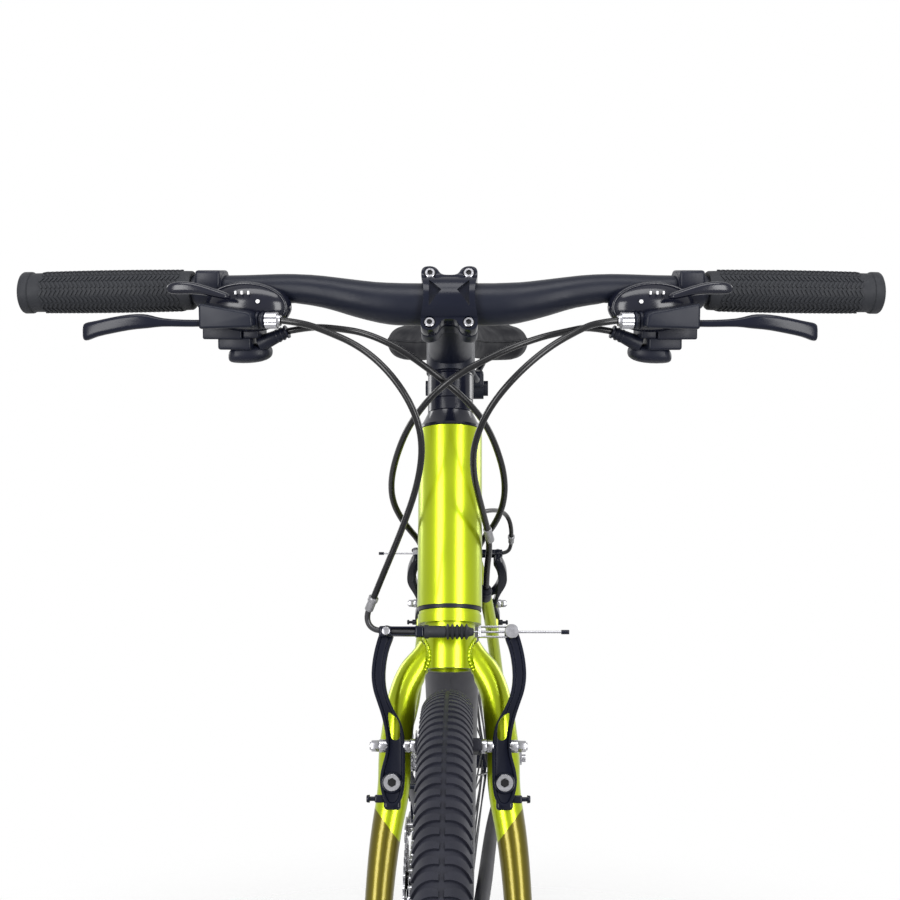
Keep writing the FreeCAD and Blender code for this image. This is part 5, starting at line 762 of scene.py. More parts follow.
def flat_plate(shape, outline, front, back):
    """An outline seen from the front, given as (across, height), made thick."""
    face = shape.faces.new([shape.verts.new((x, front, z)) for x, z in outline])
    out = bmesh.ops.extrude_face_region(shape, geom=[face])["geom"]
    bmesh.ops.translate(shape, vec=(0, back - front, 0), verts=verts_of(out))
    return face


def rounded_outline(points):
    """Cut the corners of a closed outline twice, so that it runs smooth."""
    for step in range(2):
        pairs = zip(points, points[1:] + points[:1])
        points = [tuple((1 - share) * a + share * b for a, b in zip(first, second))
                  for first, second in pairs for share in (0.25, 0.75)]
    return points


def carve(shape, tools, width, segments, angle):
    """Apply Booleans, each an operation and its tool, and round the sharp edges that are left."""
    carved = put("carved", mesh_of("carved", shape))
    items = [carved]
    for operation, tool in tools:
        items.append(put("tool", mesh_of("tool", tool)))
        cut = carved.modifiers.new("cut", "BOOLEAN")
        cut.object = items[-1]
        cut.operation = operation
        cut.solver = "EXACT"
    soften = carved.modifiers.new("soften", "BEVEL")
    soften.width = width
    soften.segments = segments
    soften.limit_method = "ANGLE"
    soften.angle_limit = math.radians(angle)
    mesh = bpy.data.meshes.new_from_object(carved.evaluated_get(bpy.context.evaluated_depsgraph_get()))
    result = bmesh.new()
    result.from_mesh(mesh)
    for item in items:
        bpy.data.objects.remove(item)
    return result


def forged_arm():
    """One arm on the bicycle's left, in the brake's frame."""
    shape = bmesh.new()
    front = flat_plate(shape, rounded_outline(ARM_OUTER), ARM_FRONT, ARM_BACK)
    bmesh.ops.recalc_face_normals(shape, faces=shape.faces)
    inset(shape, [front], 2.1, 0.0)
    inset(shape, [front], 0.7, -1.3)
    hole = bmesh.new()
    flat_plate(hole, rounded_outline(WINDOW), ARM_FRONT - 5.0, ARM_BACK + 5.0)
    return carve(shape, [("DIFFERENCE", hole)], 0.55, 2, 40.0)


def arm_details(shape):
    """Pivot boss, spring housing, and the tension screw with its seat."""
    rod(shape, (STUD_X, ARM_FRONT + 2.0, STUD_Z), (STUD_X, ARM_FRONT - 1.0, STUD_Z), 8.3, 7.6, segments=36,
        round_by=0.4)
    block(shape, (35.2, ARM_FRONT + 1.5, 259.5), (47.6, ARM_BACK + 1.0, 272.0), round_by=2.2)
    block(shape, (46.0, -29.5, 264.6), (54.5, -24.5, 270.4), round_by=1.2)
    rod(shape, (52.0, PAD_Y, SCREW_Z), (58.5, PAD_Y, SCREW_Z), 1.7, segments=16)
    rod(shape, (58.0, PAD_Y, SCREW_Z), (60.5, PAD_Y, SCREW_Z), 3.0, 2.6, segments=16, round_by=0.4)


def pad_post(shape):
    """Post, two spacers, washer and nut."""
    for start, end, radius, end_radius, segments, round_by in (
            (22.0, 58.6, 2.9, 2.9, 20, 0.4), (24.0, 28.4, 5.4, 5.4, 30, 0.4), (28.6, 33.4, 4.8, 4.8, 30, 0.4),
            (45.4, 51.6, 4.9, 4.9, 30, 0.3), (51.6, 57.4, 4.3, 4.1, 6, 0.3)):
        rod(shape, (start, PAD_Y, PAD_Z), (end, PAD_Y, PAD_Z), radius, end_radius, segments=segments,
            round_by=round_by)


def pad_shoe(shape):
    """The rubber shoe, with raised bars on its back."""
    block(shape, (15.1, PAD_Y - 23.5, PAD_Z - 4.8), (23.8, PAD_Y + 31.5, PAD_Z + 4.8), round_by=2.0)
    for step in range(6):
        y = PAD_Y - 18.0 + 8.6 * step
        block(shape, (22.6, y, PAD_Z - 5.3), (24.4, y + 4.4, PAD_Z + 5.3), round_by=0.6)


def make_arm(end, side, place, mirrored):
    """One arm with its pad; a mirrored one is drawn on the left and flipped over."""
    arm, post, shoe = forged_arm(), bmesh.new(), bmesh.new()
    arm_details(arm)
    pad_post(post)
    pad_shoe(shoe)
    for shape in (arm, post, shoe):
        if mirrored:
            move(shape, MIRROR)
            bmesh.ops.reverse_faces(shape, faces=shape.faces)
        move(shape, place)
    name = end + "_" + side
    body = end + "_arm_" + side
    pads = ["front_brake_pad_" + side] if end == "front" else []
    new_piece(name + "_arm_forging", arm, "forged_black", body, angle=30.0,
              stands_for=[end + "_brake_arm_" + side])
    new_piece(name + "_pad_post", post, "bright_steel", body, stands_for=pads)
    new_piece(name + "_pad_shoe", shoe, "pad_rubber", body)


for end, place, sides in (("front", STEERING, ("left", "right")), ("rear", REAR_BRAKE, ("right", "left"))):
    for side in sides:
        make_arm(end, side, place, mirrored=side == sides[1])
print("brake arms and pads made")

# %% [markdown]
# The hand controls are moulded and die-cast, so nearly every edge is round. The left set is drawn
# in its own frame, with X outwards along the grip and Y backwards, and the right set is its mirror
# image. Bodies that stay still are one piece. Each lever is a piece of its own, because it turns.

# %% Control bodies
BRACKET = [(4.4, -9.0), (-33.0, -15.4), (-36.6, -18.0), (-37.0, -27.0), (4.4, -28.4)]
DOME_X = -24.5
DOME_Z = -12.5
BARREL_Y = -30.0
BARREL_Z = -22.0
BARREL_RADIUS = 6.3
FLUTE_RADIUS = 5.6
FLUTE_COUNT = 10.0


def bracket_block(shape):
    """The brake lever's bracket: a leaning block with a sloping top."""
    flat_plate(shape, BRACKET, -44.0, -14.0)
    bmesh.ops.recalc_face_normals(shape, faces=shape.faces)
    bmesh.ops.bevel(shape, geom=shape.edges[:], offset=2.4, segments=4, **BEVEL)


def shifter_shell(shape):
    """The display dome."""
    ball(shape, (DOME_X, -11.0, DOME_Z), (33.5, 17.0, 19.0))


def shifter_base(shape):
    """Clamp band, lower blocks and the gear cable's exit."""
    rod(shape, (-4.0, 0, 0), (17.0, 0, 0), 14.2, segments=40, round_by=0.8)
    block(shape, (-3.5, -15.0, -2.0), (16.5, 10.0, 15.0), round_by=2.6)
    block(shape, (-32.5, -13.5, -36.0), (-20.5, 12.0, -26.0), round_by=1.4)
    block(shape, (-19.7, -14.0, -37.0), (11.0, 12.0, -25.0), round_by=1.4)
    block(shape, (-26.0, -11.5, -45.0), (0.0, 11.0, -35.0), round_by=2.0)
    rod(shape, (-30.0, 0.0, -41.0), (-52.0, 0.0, -31.0), 6.4, 4.0, segments=28, round_by=0.6)
    for step in range(3):
        spot = Vector((-50.5 + 3.4 * step, 0.0, -31.7 - 1.55 * step))
        rod(shape, spot, spot + Vector((-1.5, 0.0, 0.68)), 5.2, segments=24, round_by=0.3)


def dome_rim(shape):
    """The raised band round the display."""
    turns = [math.radians(200.0 - 8.6 * step) for step in range(19)]
    spots = [(DOME_X + 31.0 * math.cos(turn), -17.6, DOME_Z + 17.6 * math.sin(turn)) for turn in turns]
    for start, end in zip(spots, spots[1:]):
        rod(shape, start, end, 1.5, segments=10)


def display_marks(shape):
    """Three plain ticks and a pointer on the gear display."""
    for step in range(3):
        x = -30.0 + 5.0 * step
        front = -29.4 + 0.55 * abs(step - 1)
        block(shape, (x, front, -2.9), (x + 1.0, -26.0, -0.3), round_by=0.2, segments=1)
    rod(shape, (-36.5, -26.5, -8.0), (-36.5, -28.0, -8.0), 1.4, segments=14)


def barrel_seat(shape):
    """Black rings where the cable adjuster screws into the bracket."""
    for x, radius in ((-36.5, 6.4), (-38.9, 5.4), (-40.5, 6.3), (-42.3, 5.4)):
        rod(shape, (x, BARREL_Y, BARREL_Z), (x - 1.9, BARREL_Y, BARREL_Z), radius, segments=32, round_by=0.3)


def barrel(shape):
    """The bright knurled adjuster: a fluted drum with a plain nose."""
    drum = rod(shape, (-43.6, BARREL_Y, BARREL_Z), (-52.4, BARREL_Y, BARREL_Z), BARREL_RADIUS, segments=40)
    for vert in drum:
        middle = Vector((vert.co.x, BARREL_Y, BARREL_Z))
        angle = math.atan2(vert.co.z - BARREL_Z, vert.co.y - BARREL_Y)
        reach = BARREL_RADIUS if math.cos(FLUTE_COUNT * angle) > -0.2 else FLUTE_RADIUS
        vert.co = middle + (vert.co - middle).normalized() * reach
    rod(shape, (-52.0, BARREL_Y, BARREL_Z), (-55.0, BARREL_Y, BARREL_Z), 5.0, 4.2, segments=32, round_by=0.5)


def control_piece(name, maker, finish, slot, **options):
    """A still part of the controls, on both sides, riding on the steering."""
    shape = bmesh.new()
    maker(shape)
    move(shape, CONTROL)
    bmesh.ops.recalc_face_normals(shape, faces=shape.faces)
    both_sides(shape)
    new_piece(name, shape, finish, "steering", slot, **options)


control_piece("shifter_shells", shifter_shell, "gloss_black", "black_plastic", stands_for=["shifter_bodies"])
control_piece("shifter_bases", shifter_base, "black_plastic", "black_plastic")
control_piece("display_rims", dome_rim, "gloss_black", "black_plastic")
control_piece("display_marks", display_marks, "white_mark", "black_plastic")
control_piece("bracket_blocks", bracket_block, "satin_black", "forged_black", stands_for=["lever_brackets"])
control_piece("barrel_seats", barrel_seat, "black_plastic", "forged_black")
control_piece("cable_barrels", barrel, "bright_steel", "bright_steel", angle=20.0,
              stands_for=["barrel_adjusters"])
print("control bodies made")

# %% [markdown]
# The brake lever starts as a thin neck and widens into a flat blade with a hooked end, the shift
# trigger is a short curved paddle, and the thumb lever is a fat rounded pad. Each is a loft: a
# rounded-square ring that is extruded from section to section and resized on the way.

# %% Control levers
LEVER = [(-7.0, -31.5, -23.6, 13.0, 5.0), (4.0, -36.5, -24.3, 9.5, 5.2), (18.0, -40.6, -24.1, 7.0, 5.3),
         (33.0, -43.4, -23.5, 7.2, 5.8), (41.0, -44.4, -22.9, 8.2, 9.6), (46.0, -44.9, -22.6, 8.6, 11.0),
         (56.0, -45.6, -23.1, 8.8, 11.7), (70.0, -46.0, -25.7, 8.8, 12.2), (82.0, -45.4, -28.2, 8.8, 11.8),
         (87.5, -44.8, -29.9, 8.8, 13.4), (91.6, -44.4, -30.8, 8.2, 13.6), (93.0, -44.2, -31.0, 6.6, 11.0),
         (93.5, -44.1, -31.0, 4.0, 7.0)]
TRIGGER = [(-18.0, -36.0, -4.6, 5.0, 3.4), (-16.5, -36.4, -4.4, 9.0, 5.0), (-9.0, -38.0, -2.2, 9.4, 6.4),
           (0.0, -39.8, 0.4, 8.4, 7.2), (9.0, -41.2, 2.0, 7.2, 8.8), (18.0, -41.6, 2.2, 6.6, 9.6),
           (24.5, -41.0, 1.8, 6.2, 8.8), (28.0, -40.2, 1.4, 5.4, 6.4), (29.4, -39.8, 1.2, 3.6, 3.4)]
THUMB = [(-5.6, 0.4, -50.6, 6.0, 5.0), (-7.2, 0.6, -50.0, 14.0, 10.0), (-12.0, 1.4, -48.6, 22.0, 14.0),
         (-21.0, 3.6, -48.0, 25.0, 15.6), (-30.0, 5.4, -47.6, 23.0, 14.2), (-35.6, 6.4, -47.2, 16.0, 10.0),
         (-37.6, 6.8, -47.0, 7.0, 4.6)]


def lever_piece(kind, body, sections, finish, slot, squareness):
    rows = [((x, y, z), (1, 0, 0), width, height) for x, y, z, width, height in sections]
    for side, place in (("left", CONTROL), ("right", MIRROR @ CONTROL)):
        shape = bmesh.new()
        loft(shape, rows, sides=28, squareness=squareness)
        move(shape, place)
        name = side + "_" + kind
        subdivided(new_piece(name + "_cast", shape, finish, side + "_" + body, slot, stands_for=[name]))


lever_piece("brake_lever", "lever", LEVER, "forged_black", "forged_black", 3.4)
lever_piece("shift_trigger", "trigger", TRIGGER, "gloss_black", "black_plastic", 2.4)
lever_piece("thumb_lever", "thumb", THUMB, "black_plastic", "black_plastic", 2.6)
print("levers made")

# %% [markdown]
# Each brake's cross wire: a bent metal guide, the noodle, sits in a cradle on one arm. A rubber bellows
# keeps dirt off the wire, which goes on to the anchor bolt on the other arm. The bellows is one profile
# spun round the wire. The anchor and the cradle's rivet ride on the arms, so they close with them.

# %% Brake wires
CABLE_Y = -36.7
BOOT = [(-18.5, 2.0), (-18.5, 4.6), (-17.6, 5.2), (-15.6, 5.2), (-14.8, 4.5), (-3.6, 4.5), (-2.8, 4.4)]
for rib_index in range(5):
    rib_x = -2.2 + 3.5 * rib_index
    BOOT += [(rib_x, 4.0), (rib_x + 0.7, 5.6), (rib_x + 1.3, 6.1), (rib_x + 1.9, 5.6), (rib_x + 2.7, 4.0)]
BOOT += [(15.6, 3.4), (17.6, 3.0), (18.6, 2.2), (18.6, 1.0)]
NOODLE_BEND = Vector((-62.0, CABLE_Y - 3.5, ARM_TOP_Z + 11.0))
NOODLE_START = [(-20.0, 0.0, 0.0), (-50.0, 0.0, 0.0), (-59.0, -1.2, 2.6)]
NOODLE_RADIUS = 2.2


def spun(shape, profile, place):
    """Spin an (along, radius) profile into a round body about a frame's X axis."""
    spin_line(shape, [(along, 0.0, radius) for along, radius in profile], (1, 0, 0), 36)
    move(shape, place)


def bellows(shape, place):
    spun(shape, BOOT, place)


def cross_wire(shape, place):
    rod(shape, (16.0, 0, 0), (84.0, 0, 0), 0.9, place=place, segments=12)


def cradle(shape, place):
    """Two straps and a nose that hold the noodle, open between."""
    for z in (-3.4, 2.2):
        block(shape, (-52.0, -3.6, z), (-19.0, 3.6, z + 1.4), place=place, round_by=0.5)
    block(shape, (-52.4, -3.6, -4.0), (-43.0, 3.6, 4.0), place=place, round_by=1.4)
    block(shape, (-25.5, -4.0, -4.4), (-18.6, 4.0, 4.4), place=place, round_by=1.4)


def anchor_bolt(shape, place):
    rod(shape, (ARM_TOP_X, 6.0, 0), (ARM_TOP_X, -4.6, 0), 4.4, place=place, segments=6, round_by=0.4)
    rod(shape, (ARM_TOP_X, -4.4, 0), (ARM_TOP_X, -5.2, 0), 5.4, 5.0, place=place, segments=28)


def anchor_clip(shape, place):
    """Two thin straps, joined at their end, that guide the wire to its anchor."""
    for z in (-4.4, 3.2):
        block(shape, (23.0, -2.6, z), (44.0, 2.6, z + 1.2), place=place, round_by=0.4)
    block(shape, (21.8, -2.8, -4.4), (24.0, 2.8, 4.4), place=place, round_by=0.8)


def wire_cap(shape, place):
    rod(shape, (84.0, 0, 0), (90.0, 0, 0), 1.7, place=place, segments=12, round_by=0.3)


def cradle_rivet(shape, place):
    rod(shape, (-ARM_TOP_X, -3.0, 0), (-ARM_TOP_X, -5.0, 0), 3.6, 3.0, place=place, segments=24, round_by=0.3)


def make_brake_wire(name, brake, body, anchor_body, rivet_body, up, replaced):
    """All of one brake's wire; up is the way the noodle's end points, in the brake's frame."""
    place = brake @ Matrix.Translation((0.0, CABLE_Y, ARM_TOP_Z))

    def part(maker, finish, rides, **options):
        shape = bmesh.new()
        maker(shape, place)
        new_piece(name + "_" + maker.__name__, shape, finish, rides, **options)

    part(bellows, "grip_rubber", body, slot="black_plastic", angle=50.0, stands_for=[replaced])
    part(cross_wire, "bright_steel", anchor_body)
    part(cradle, "forged_black", body)
    part(anchor_bolt, "bright_steel", anchor_body)
    part(anchor_clip, "bright_steel", anchor_body)
    part(wire_cap, "forged_black", anchor_body)
    part(cradle_rivet, "bright_steel", rivet_body)
    bend = brake @ NOODLE_BEND
    lean = brake.to_3x3() @ up.normalized()
    points = [place @ Vector(point) for point in NOODLE_START] + [bend, bend + lean * 8.0]
    tube(name + "_noodle_pipe", points, NOODLE_RADIUS, "spoke_steel", body)
    shape = bmesh.new()
    rod(shape, bend + lean * 6.0, bend + lean * 17.0, 3.3, segments=24, round_by=0.4)
    rod(shape, bend + lean * 14.0, bend + lean * 17.5, 3.9, segments=24, round_by=0.4)
    new_piece(name + "_noodle_ferrule", shape, "grey_cap", body, slot="bright_steel")
    return bend + lean * 17.0


make_brake_wire("front", STEERING, "steering", "front_arm_left", "front_arm_right",
                Vector((0.351, -0.573, 0.741)), "front_noodle")
LEAD_FOOT = make_brake_wire("rear", REAR_BRAKE, "frame", "rear_arm_right", "rear_arm_left",
                            Vector((0.0, 0.0, 1.0)), "frame_cables")
print("brake wires made")

# %% [markdown]
# The rear brake's housing leaves the top tube and drops to the noodle. Grommets line the holes where
# housings enter the down tube. A bare wire works the front gear changer, and a loop of housing the
# rear one. Both are set in place as they lie, on no body.

# %% Cables on the frame
DOWN_RUN = Vector((0.0, 0.667, -0.745))
GROMMETS = [(19.8, -295.7, 740.4), (-19.8, -295.7, 740.4), (28.2, -299.4, 720.8)]
TOP_TUBE_ENTRY = Vector((15.6, 160.6, 718.4))
STAY_RUN = REAR_BRAKE.to_3x3() @ Vector((0, 0, 1))
LEAD = [LEAD_FOOT, LEAD_FOOT + STAY_RUN * 22.0, LEAD_FOOT + STAY_RUN * 46.0 + Vector((-9.0, 0, 0)),
        TOP_TUBE_ENTRY + Vector((17.0, 22.0, 3.0)), TOP_TUBE_ENTRY]
GEAR_LOOP = [(-66.2, 462.2, 332.4), (-74.0, 484.0, 334.0), (-90.0, 508.0, 339.0), (-98.5, 537.0, 341.0),
             (-101.0, 570.0, 341.5), (-100.0, 604.6, 340.0), (-97.0, 621.0, 323.6), (-93.0, 621.0, 300.4),
             (-89.0, 604.6, 284.0), (-87.0, 581.2, 284.0)]
CHANGER_WIRE = [(-8.0, 120.4 + 44.6 * step / 6, 294.0 + 118.4 * step / 6) for step in range(7)]
WIRE_RADIUS = 0.9

tube("rear_brake_lead", LEAD, HOUSING_RADIUS, "cable_sheath", "frame")
loop = tube("rear_gear_cable", GEAR_LOOP, HOUSING_RADIUS, "cable_sheath")
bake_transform(loop)
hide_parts("rear_gear_loop")
changer_wire = tube("front_changer_wire", CHANGER_WIRE, WIRE_RADIUS, "bright_steel")
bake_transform(changer_wire)
shape = bmesh.new()
for spot in map(Vector, GROMMETS):
    rod(shape, spot - DOWN_RUN * 7.0, spot + DOWN_RUN * 7.0, 4.6, segments=28, round_by=1.0)
    rod(shape, spot - DOWN_RUN * 4.0, spot - DOWN_RUN * 2.0, 5.2, segments=28, round_by=0.5)
new_piece("cable_grommets", shape, "black_plastic", "frame", slot="cable_sheath")
shape = bmesh.new()
rod(shape, (28.9, -351.0, 781.0), (31.4, -341.5, 770.6), 3.3, segments=24, round_by=0.4)
ferrule = new_piece("rear_brake_ferrule", shape, "grey_cap", None, slot="bright_steel")
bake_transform(ferrule)
print("cables on the frame made")

# %% [markdown]
# The bar clamp is two halves of one outline: an ear round each bolt, a dip between the upper ears and
# an arch between the lower ones. The faceplate also has a three-sided pocket at each side. The front
# outline and the side outline are two solid prisms. Booleans keep what the two share and cut away
# the bar, the pockets and the bolt seats. The stem's other half goes on into the arm and the collar.

# %% Bar clamp and stem
STEM = BAR @ Matrix.Rotation(math.radians(-26.0), 4, "X")
PLATE_HALF = [(0.0, -17.4), (5.6, -17.8), (8.6, -24.2), (14.5, -26.4), (20.6, -25.0), (21.4, -18.0),
              (19.0, -6.0), (19.0, 6.0), (21.4, 18.0), (20.6, 25.0), (14.5, 26.4), (9.4, 24.6), (6.4, 19.2),
              (0.0, 18.6)]
POCKET = [(15.0, 12.0), (5.8, 2.6), (15.0, -9.8)]
BOLT_SPOTS = [(x, z) for x in (-14.5, 14.5) for z in (-20.1, 20.1)]
SHELL_RADIUS = 21.2
EARS = [(-12.0, 19.2), (-12.0, 27.0), (-1.0, 27.0), (-1.0, -27.0), (-12.0, -27.0), (-12.0, -19.2)]
CUT_REACH = 30.0
COLLAR_MIDDLE = Vector((0.0, 0.0, 618.6))
STEM_ROWS = [(13.0, 34.0, 34.0), (24.0, 34.0, 35.0), (48.0, 33.0, 34.0), (74.0, 35.0, 35.0)]


def plate_side(way):
    """The clamp's side outline, swept across: round over the bar, flat at the ears."""
    shape = bmesh.new()
    arc = [math.radians(-53.0 + 106.0 * step / 20) for step in range(21)]
    outline = [(-SHELL_RADIUS * math.cos(angle), SHELL_RADIUS * math.sin(angle)) for angle in arc] + EARS
    face = shape.faces.new([shape.verts.new((-CUT_REACH, way * y, z)) for y, z in outline])
    out = bmesh.ops.extrude_face_region(shape, geom=[face])["geom"]
    bmesh.ops.translate(shape, vec=(2 * CUT_REACH, 0, 0), verts=verts_of(out))
    return shape


def plate_cuts(front):
    """The bar, and on the faceplate the two pockets and the seats of the bolts."""
    shape = bmesh.new()
    rod(shape, (-CUT_REACH, 0, 0), (CUT_REACH, 0, 0), 16.0, segments=64)
    if front:
        for side in (-1, 1):
            flat_plate(shape, [(side * x, z) for x, z in POCKET], -40.0, -16.7)
        for x, z in BOLT_SPOTS:
            rod(shape, (x, -40.0, z), (x, -9.05, z), 4.4, segments=32)
    return shape


def clamp_half(front):
    """The faceplate or the stem's jaw."""
    way = 1.0 if front else -1.0
    shape = bmesh.new()
    outline = PLATE_HALF + [(-x, z) for x, z in reversed(PLATE_HALF[1:-1])]
    flat_plate(shape, rounded_outline(outline), -26.0 * way, -1.0 * way)
    tools = [("INTERSECT", plate_side(way)), ("DIFFERENCE", plate_cuts(front))]
    shape = carve(shape, tools, 0.6, 3, 35.0)
    move(shape, STEM)
    return shape


def make_clamp():
    plate = new_piece("faceplate_cast", clamp_half(True), "forged_black", "steering", slot="satin_black",
                      angle=30.0, stands_for=["stem_faceplate"])
    shape = clamp_half(False)
    bar = STEERING.inverted() @ BAR.translation
    run = (COLLAR_MIDDLE - bar).normalized()
    rows = [(bar + run * along, run, width, height) for along, width, height in STEM_ROWS]
    loft(shape, rows + [(COLLAR_MIDDLE, run, 36.0, 35.5)], place=STEERING, sides=40, squareness=2.3)
    rod(shape, (0, 0, 599.7), (0, 0, 637.5), 19.3, place=STEERING, segments=56, round_by=0.8)
    for low, high in ((-12.0, -1.0), (1.0, 12.0)):
        block(shape, (low, 8.0, 599.8), (high, 29.2, 637.4), place=STEERING, round_by=3.0)
    stem = new_piece("stem_cast", shape, "satin_black", "steering", angle=32.0, stands_for=["stem"])
    print("clamp", len(plate.data.polygons), "and stem", len(stem.data.polygons), "faces")


make_clamp()

# %% [markdown]
# Between the head tube and the stem sit a conical cover and three spacers. They are one profile spun
# round the steering axis, with a fine groove where two rings meet. The bolts get rounded heads with
# a sunk socket: the end face of a short rod is inset and then pushed in. A black disc at the bottom
# of each socket is painted shade, standing in for the shadow inside it.

# %% Spacers and bolts
COLUMN = STEERING @ Matrix.Rotation(math.radians(-90.0), 4, "Y")
COLUMN_PROFILE = [(553.6, 15.0), (553.6, 24.0), (554.3, 24.5), (556.0, 24.4), (560.0, 21.6), (565.8, 18.7),
                  (567.2, 18.2), (567.6, 17.3), (568.0, 18.0), (577.2, 18.0), (577.6, 17.2), (578.0, 18.0),
                  (597.2, 18.0), (597.6, 17.2), (598.0, 18.0), (599.2, 18.0), (599.5, 17.4), (599.5, 14.6)]
RIM_STEP = 0.5
SOCKET_DEPTH = 2.0


def socket_bolt(shape, socket_shades, base, tip, radius, socket, place):
    """A round bolt head with a sunk six-sided socket, and a black disc in the socket that is painted shade.
    """
    start, end = Vector(base), Vector(tip)
    made = rod(shape, start, end, radius, place=place, segments=30)
    axis = (place.to_3x3() @ (end - start)).normalized()
    faces = list({face for vert in made for face in vert.link_faces})
    top = max(faces, key=lambda face: face.calc_center_median().dot(axis))
    bmesh.ops.recalc_face_normals(shape, faces=faces)
    inset(shape, [top], RIM_STEP, 0.4)
    inset(shape, [top], radius - socket - RIM_STEP, 0.0)
    middle = top.calc_center_median()
    side = (top.verts[0].co - middle).normalized()
    other = axis.cross(side)
    for vert in top.verts:
        angle = math.atan2((vert.co - middle).dot(other), (vert.co - middle).dot(side))
        bend = math.cos(math.pi / 6) / math.cos((angle % (math.pi / 3)) - math.pi / 6)
        vert.co = middle + (vert.co - middle) * bend
    inset(shape, [top], 0.15, -SOCKET_DEPTH)
    # A black six-sided disc down in the socket: painted shade where the steel floor lies in shadow.
    shade_disc_base = place @ end - axis * 1.7
    rod(socket_shades, shade_disc_base, shade_disc_base + axis * 0.9, socket - 0.35, segments=6)


def make_bolts():
    shape = bmesh.new()
    socket_shades = bmesh.new()
    for x, z in BOLT_SPOTS:
        socket_bolt(shape, socket_shades, (x, -9.0, z), (x, -13.2, z), 3.8, 2.3, STEM)
    for x in (-STUD_X, STUD_X):
        base, tip = (x, ARM_FRONT + 0.5, STUD_Z), (x, ARM_FRONT - 4.0, STUD_Z)
        socket_bolt(shape, socket_shades, base, tip, 6.2, 3.6, STEERING)
    for z in (608.6, 628.6):
        socket_bolt(shape, socket_shades, (12.0, 24.3, z), (16.3, 24.3, z), 3.8, 2.3, STEERING)
    socket_bolt(shape, socket_shades, (0, 0, 641.5), (0, 0, 644.8), 4.5, 2.6, STEERING)
    # The black discs in the sockets are painted shade; the bolts themselves are bright steel.
    new_piece("bolt_socket_shades", socket_shades, "cable_sheath", "steering", slot="bright_steel")
    new_piece("socket_bolts", shape, "bright_steel", "steering", angle=25.0, stands_for=["steering_bolts"])


def make_column():
    shape = bmesh.new()
    spun(shape, COLUMN_PROFILE, COLUMN)
    rod(shape, (0, 0, 637.7), (0, 0, 642.1), 17.0, 16.2, place=STEERING, segments=48, round_by=0.8)
    new_piece("spacer_column", shape, "gloss_black", "steering", slot="satin_black", angle=25.0,
              stands_for=["headset_spacers"])


make_bolts()
make_column()
print("bolts and spacers made")

# %% [markdown]
# Where the fork legs meet the steerer's neck a welder has left a ring of beads. Each bead is a small
# squashed ball on the neck's surface, and the next one overlaps it.

# %% Weld beads
NECK_RADIUS = 19.5
JOINT_Z = 376.0
BEAD_COUNT = 26
BEAD_SIZE = (1.7, 2.1, 2.1)
shape = bmesh.new()
for step in range(BEAD_COUNT):
    angle = 2 * math.pi * step / BEAD_COUNT
    y = 12.4 * math.cos(angle)
    x = math.sqrt(NECK_RADIUS ** 2 - y ** 2)
    spot = Vector((x, y, JOINT_Z + 12.6 * math.sin(angle) - 0.1 * abs(y)))
    ball(shape, spot, BEAD_SIZE, segments=10, rings=6)
both_sides(shape)
move(shape, STEERING)
new_piece("neck_welds", shape, "lime_paint", "steering")
print("weld beads made")

# %% [markdown]
# The pedals are plain cages: two toothed bars, two end plates and a barrel round the spindle. Each
# one is drawn inside the box of its solid, so it sits on the spindle and turns with its own body.

# %% Pedals
BAR_DEPTH = 10.0
TOOTH = 2.0
TOOTH_COUNT = 9
TOOTH_MARGIN = 6.0


def make_pedal(side):
    node = NODES[side + "_pedal"]
    corners = [node.matrix_world @ Vector(corner) / MM for corner in node.bound_box]
    low = Vector([min(corner[axis] for corner in corners) for axis in range(3)])
    high = Vector([max(corner[axis] for corner in corners) for axis in range(3)])
    middle = (low + high) / 2
    shape = bmesh.new()
    pitch = (high.x - low.x - 2 * TOOTH_MARGIN) / TOOTH_COUNT
    for start in (low.y, high.y - BAR_DEPTH):
        end = start + BAR_DEPTH
        block(shape, (low.x, start, low.z + TOOTH), (high.x, end, high.z - TOOTH), round_by=1.8)
        for step in range(TOOTH_COUNT):
            x = low.x + TOOTH_MARGIN + pitch * (step + 0.2)
            corners = (x, start + 2.0, low.z), (x + 0.6 * pitch, end - 2.0, high.z)
            block(shape, *corners, round_by=0.5, segments=1)
    for start in (low.x, high.x - BAR_DEPTH):
        block(shape, (start, low.y + 3.0, low.z + 4.0), (start + BAR_DEPTH, high.y - 3.0, high.z - 4.0),
              round_by=2.0)
    rod(shape, (low.x + 1.0, middle.y, middle.z), (high.x - 1.0, middle.y, middle.z), 10.0, segments=36,
        round_by=1.0)
    name = side + "_pedal"
    new_piece(name + "_cage", shape, "black_plastic", name + "_body", stands_for=[name])


for side in ("right", "left"):
    make_pedal(side)
print("pedals made")

# %% [markdown]
# The saddle is a foam pad under a stretched cover. Its sections are the solids' own, taken closer
# together along the length, and a subdivision rounds them. The pad swells a little on both sides
# of its middle, as foam does under a tight cover. A thin piping runs along the seam.

# %% Saddle
SADDLE_NOSE = 137.05
SADDLE_ROWS = [(0.0, 24.0, 917.9, 24.0, 1.0), (12.0, 36.0, 922.9, 34.0, 2.0), (60.0, 44.0, 922.9, 37.0, 3.0),
               (115.0, 62.0, 920.9, 40.0, 5.0), (165.0, 102.4, 922.9, 47.0, 9.0),
               (205.0, 147.2, 927.9, 53.0, 14.0), (235.0, 160.0, 929.9, 55.0, 16.0),
               (255.0, 144.0, 927.9, 50.0, 14.0), (265.0, 112.0, 920.9, 34.0, 9.0)]
ROW_STEPS = 4
COVER_STRETCH = 1.012
FOAM_RISE = 2.4
PIPING_RADIUS = 1.2
SEAM_POINT = 16


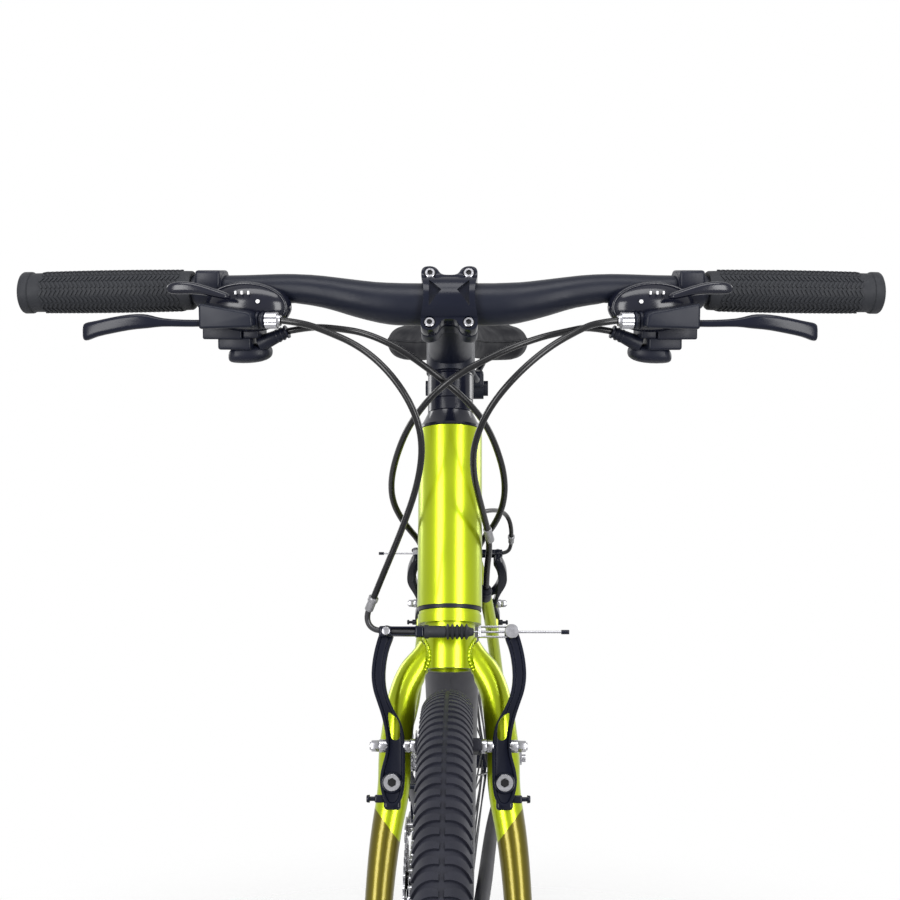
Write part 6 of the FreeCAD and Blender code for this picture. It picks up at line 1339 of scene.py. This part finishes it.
def arc_points(first, middle, last, count):
    """Points on the circle through three points, without the last one."""
    (ax, az), (bx, bz), (cx, cz) = first, middle, last
    d = 2 * (ax * (bz - cz) + bx * (cz - az) + cx * (az - bz))
    a2, b2, c2 = ax * ax + az * az, bx * bx + bz * bz, cx * cx + cz * cz
    ux = (a2 * (bz - cz) + b2 * (cz - az) + c2 * (az - bz)) / d
    uz = (a2 * (cx - bx) + b2 * (ax - cx) + c2 * (bx - ax)) / d
    radius = math.hypot(ax - ux, az - uz)
    start = math.atan2(az - uz, ax - ux)
    via = (math.atan2(bz - uz, bx - ux) - start) % (2 * math.pi)
    sweep = (math.atan2(cz - uz, cx - ux) - start) % (2 * math.pi)
    if via > sweep:
        sweep -= 2 * math.pi
    angles = [start + sweep * step / count for step in range(count)]
    return [(ux + radius * math.cos(a), uz + radius * math.sin(a)) for a in angles]


def saddle_ring(width, crown_z, depth, arch):
    half = width / 2
    base = crown_z - depth
    low = (0.74 * half, base)
    side = (half, base + 0.52 * depth)
    shoulder = (0.78 * half, crown_z - 0.09 * width - 2.0)

    def flip(point):
        return (-point[0], point[1])

    ring = arc_points(flip(low), (0.0, base + arch), low, 10)
    ring += arc_points(low, side, shoulder, 10)
    ring += arc_points(shoulder, (0.0, crown_z), flip(shoulder), 16)
    ring += arc_points(flip(shoulder), flip(side), flip(low), 10)
    return ring


def swell(x, z, width, crown_z, share):
    """Foam stands proud of the pressed-out form on both sides of the middle."""
    if z < crown_z - 0.35 * width:
        return z
    beside = abs(x) / (width / 2)
    return z + FOAM_RISE * share * math.exp(-((beside - 0.45) / 0.24) ** 2)


def saddle_rows():
    rows = []
    for first, second in zip(SADDLE_ROWS, SADDLE_ROWS[1:]):
        for step in range(ROW_STEPS):
            share = step / ROW_STEPS
            rows.append([(1 - share) * a + share * b for a, b in zip(first, second)])
    return rows + [list(SADDLE_ROWS[-1])]


def make_saddle():
    shape = bmesh.new()
    loops = []
    for along, width, crown_z, depth, arch in saddle_rows():
        share = min(1.0, along / 160.0)
        verts = [shape.verts.new((x * COVER_STRETCH, SADDLE_NOSE + along, swell(x, z, width, crown_z, share)))
                 for x, z in saddle_ring(width, crown_z, depth, arch)]
        loops.append([shape.edges.new(ends) for ends in zip(verts, verts[1:] + verts[:1])])
    for first, second in zip(loops, loops[1:]):
        bmesh.ops.bridge_loops(shape, edges=first + second)
    for loop in (loops[0], loops[-1]):
        bmesh.ops.contextual_create(shape, geom=loop)
    saddle = new_piece("saddle_pad", shape, "saddle_cover", "saddle_post", angle=80.0, stands_for=["saddle"])
    subdivided(saddle)
    print("saddle", len(saddle.data.polygons), "faces")


def make_piping(name, side):
    seam = []
    for along, *section in SADDLE_ROWS[1:]:
        x, z = saddle_ring(*section)[SEAM_POINT]
        seam.append((side * (x * COVER_STRETCH + 0.3), SADDLE_NOSE + along, z))
    tube(name, seam, PIPING_RADIUS, "saddle_cover", "saddle_post")


make_saddle()
make_piping("saddle_piping_right", -1)
make_piping("saddle_piping_left", 1)
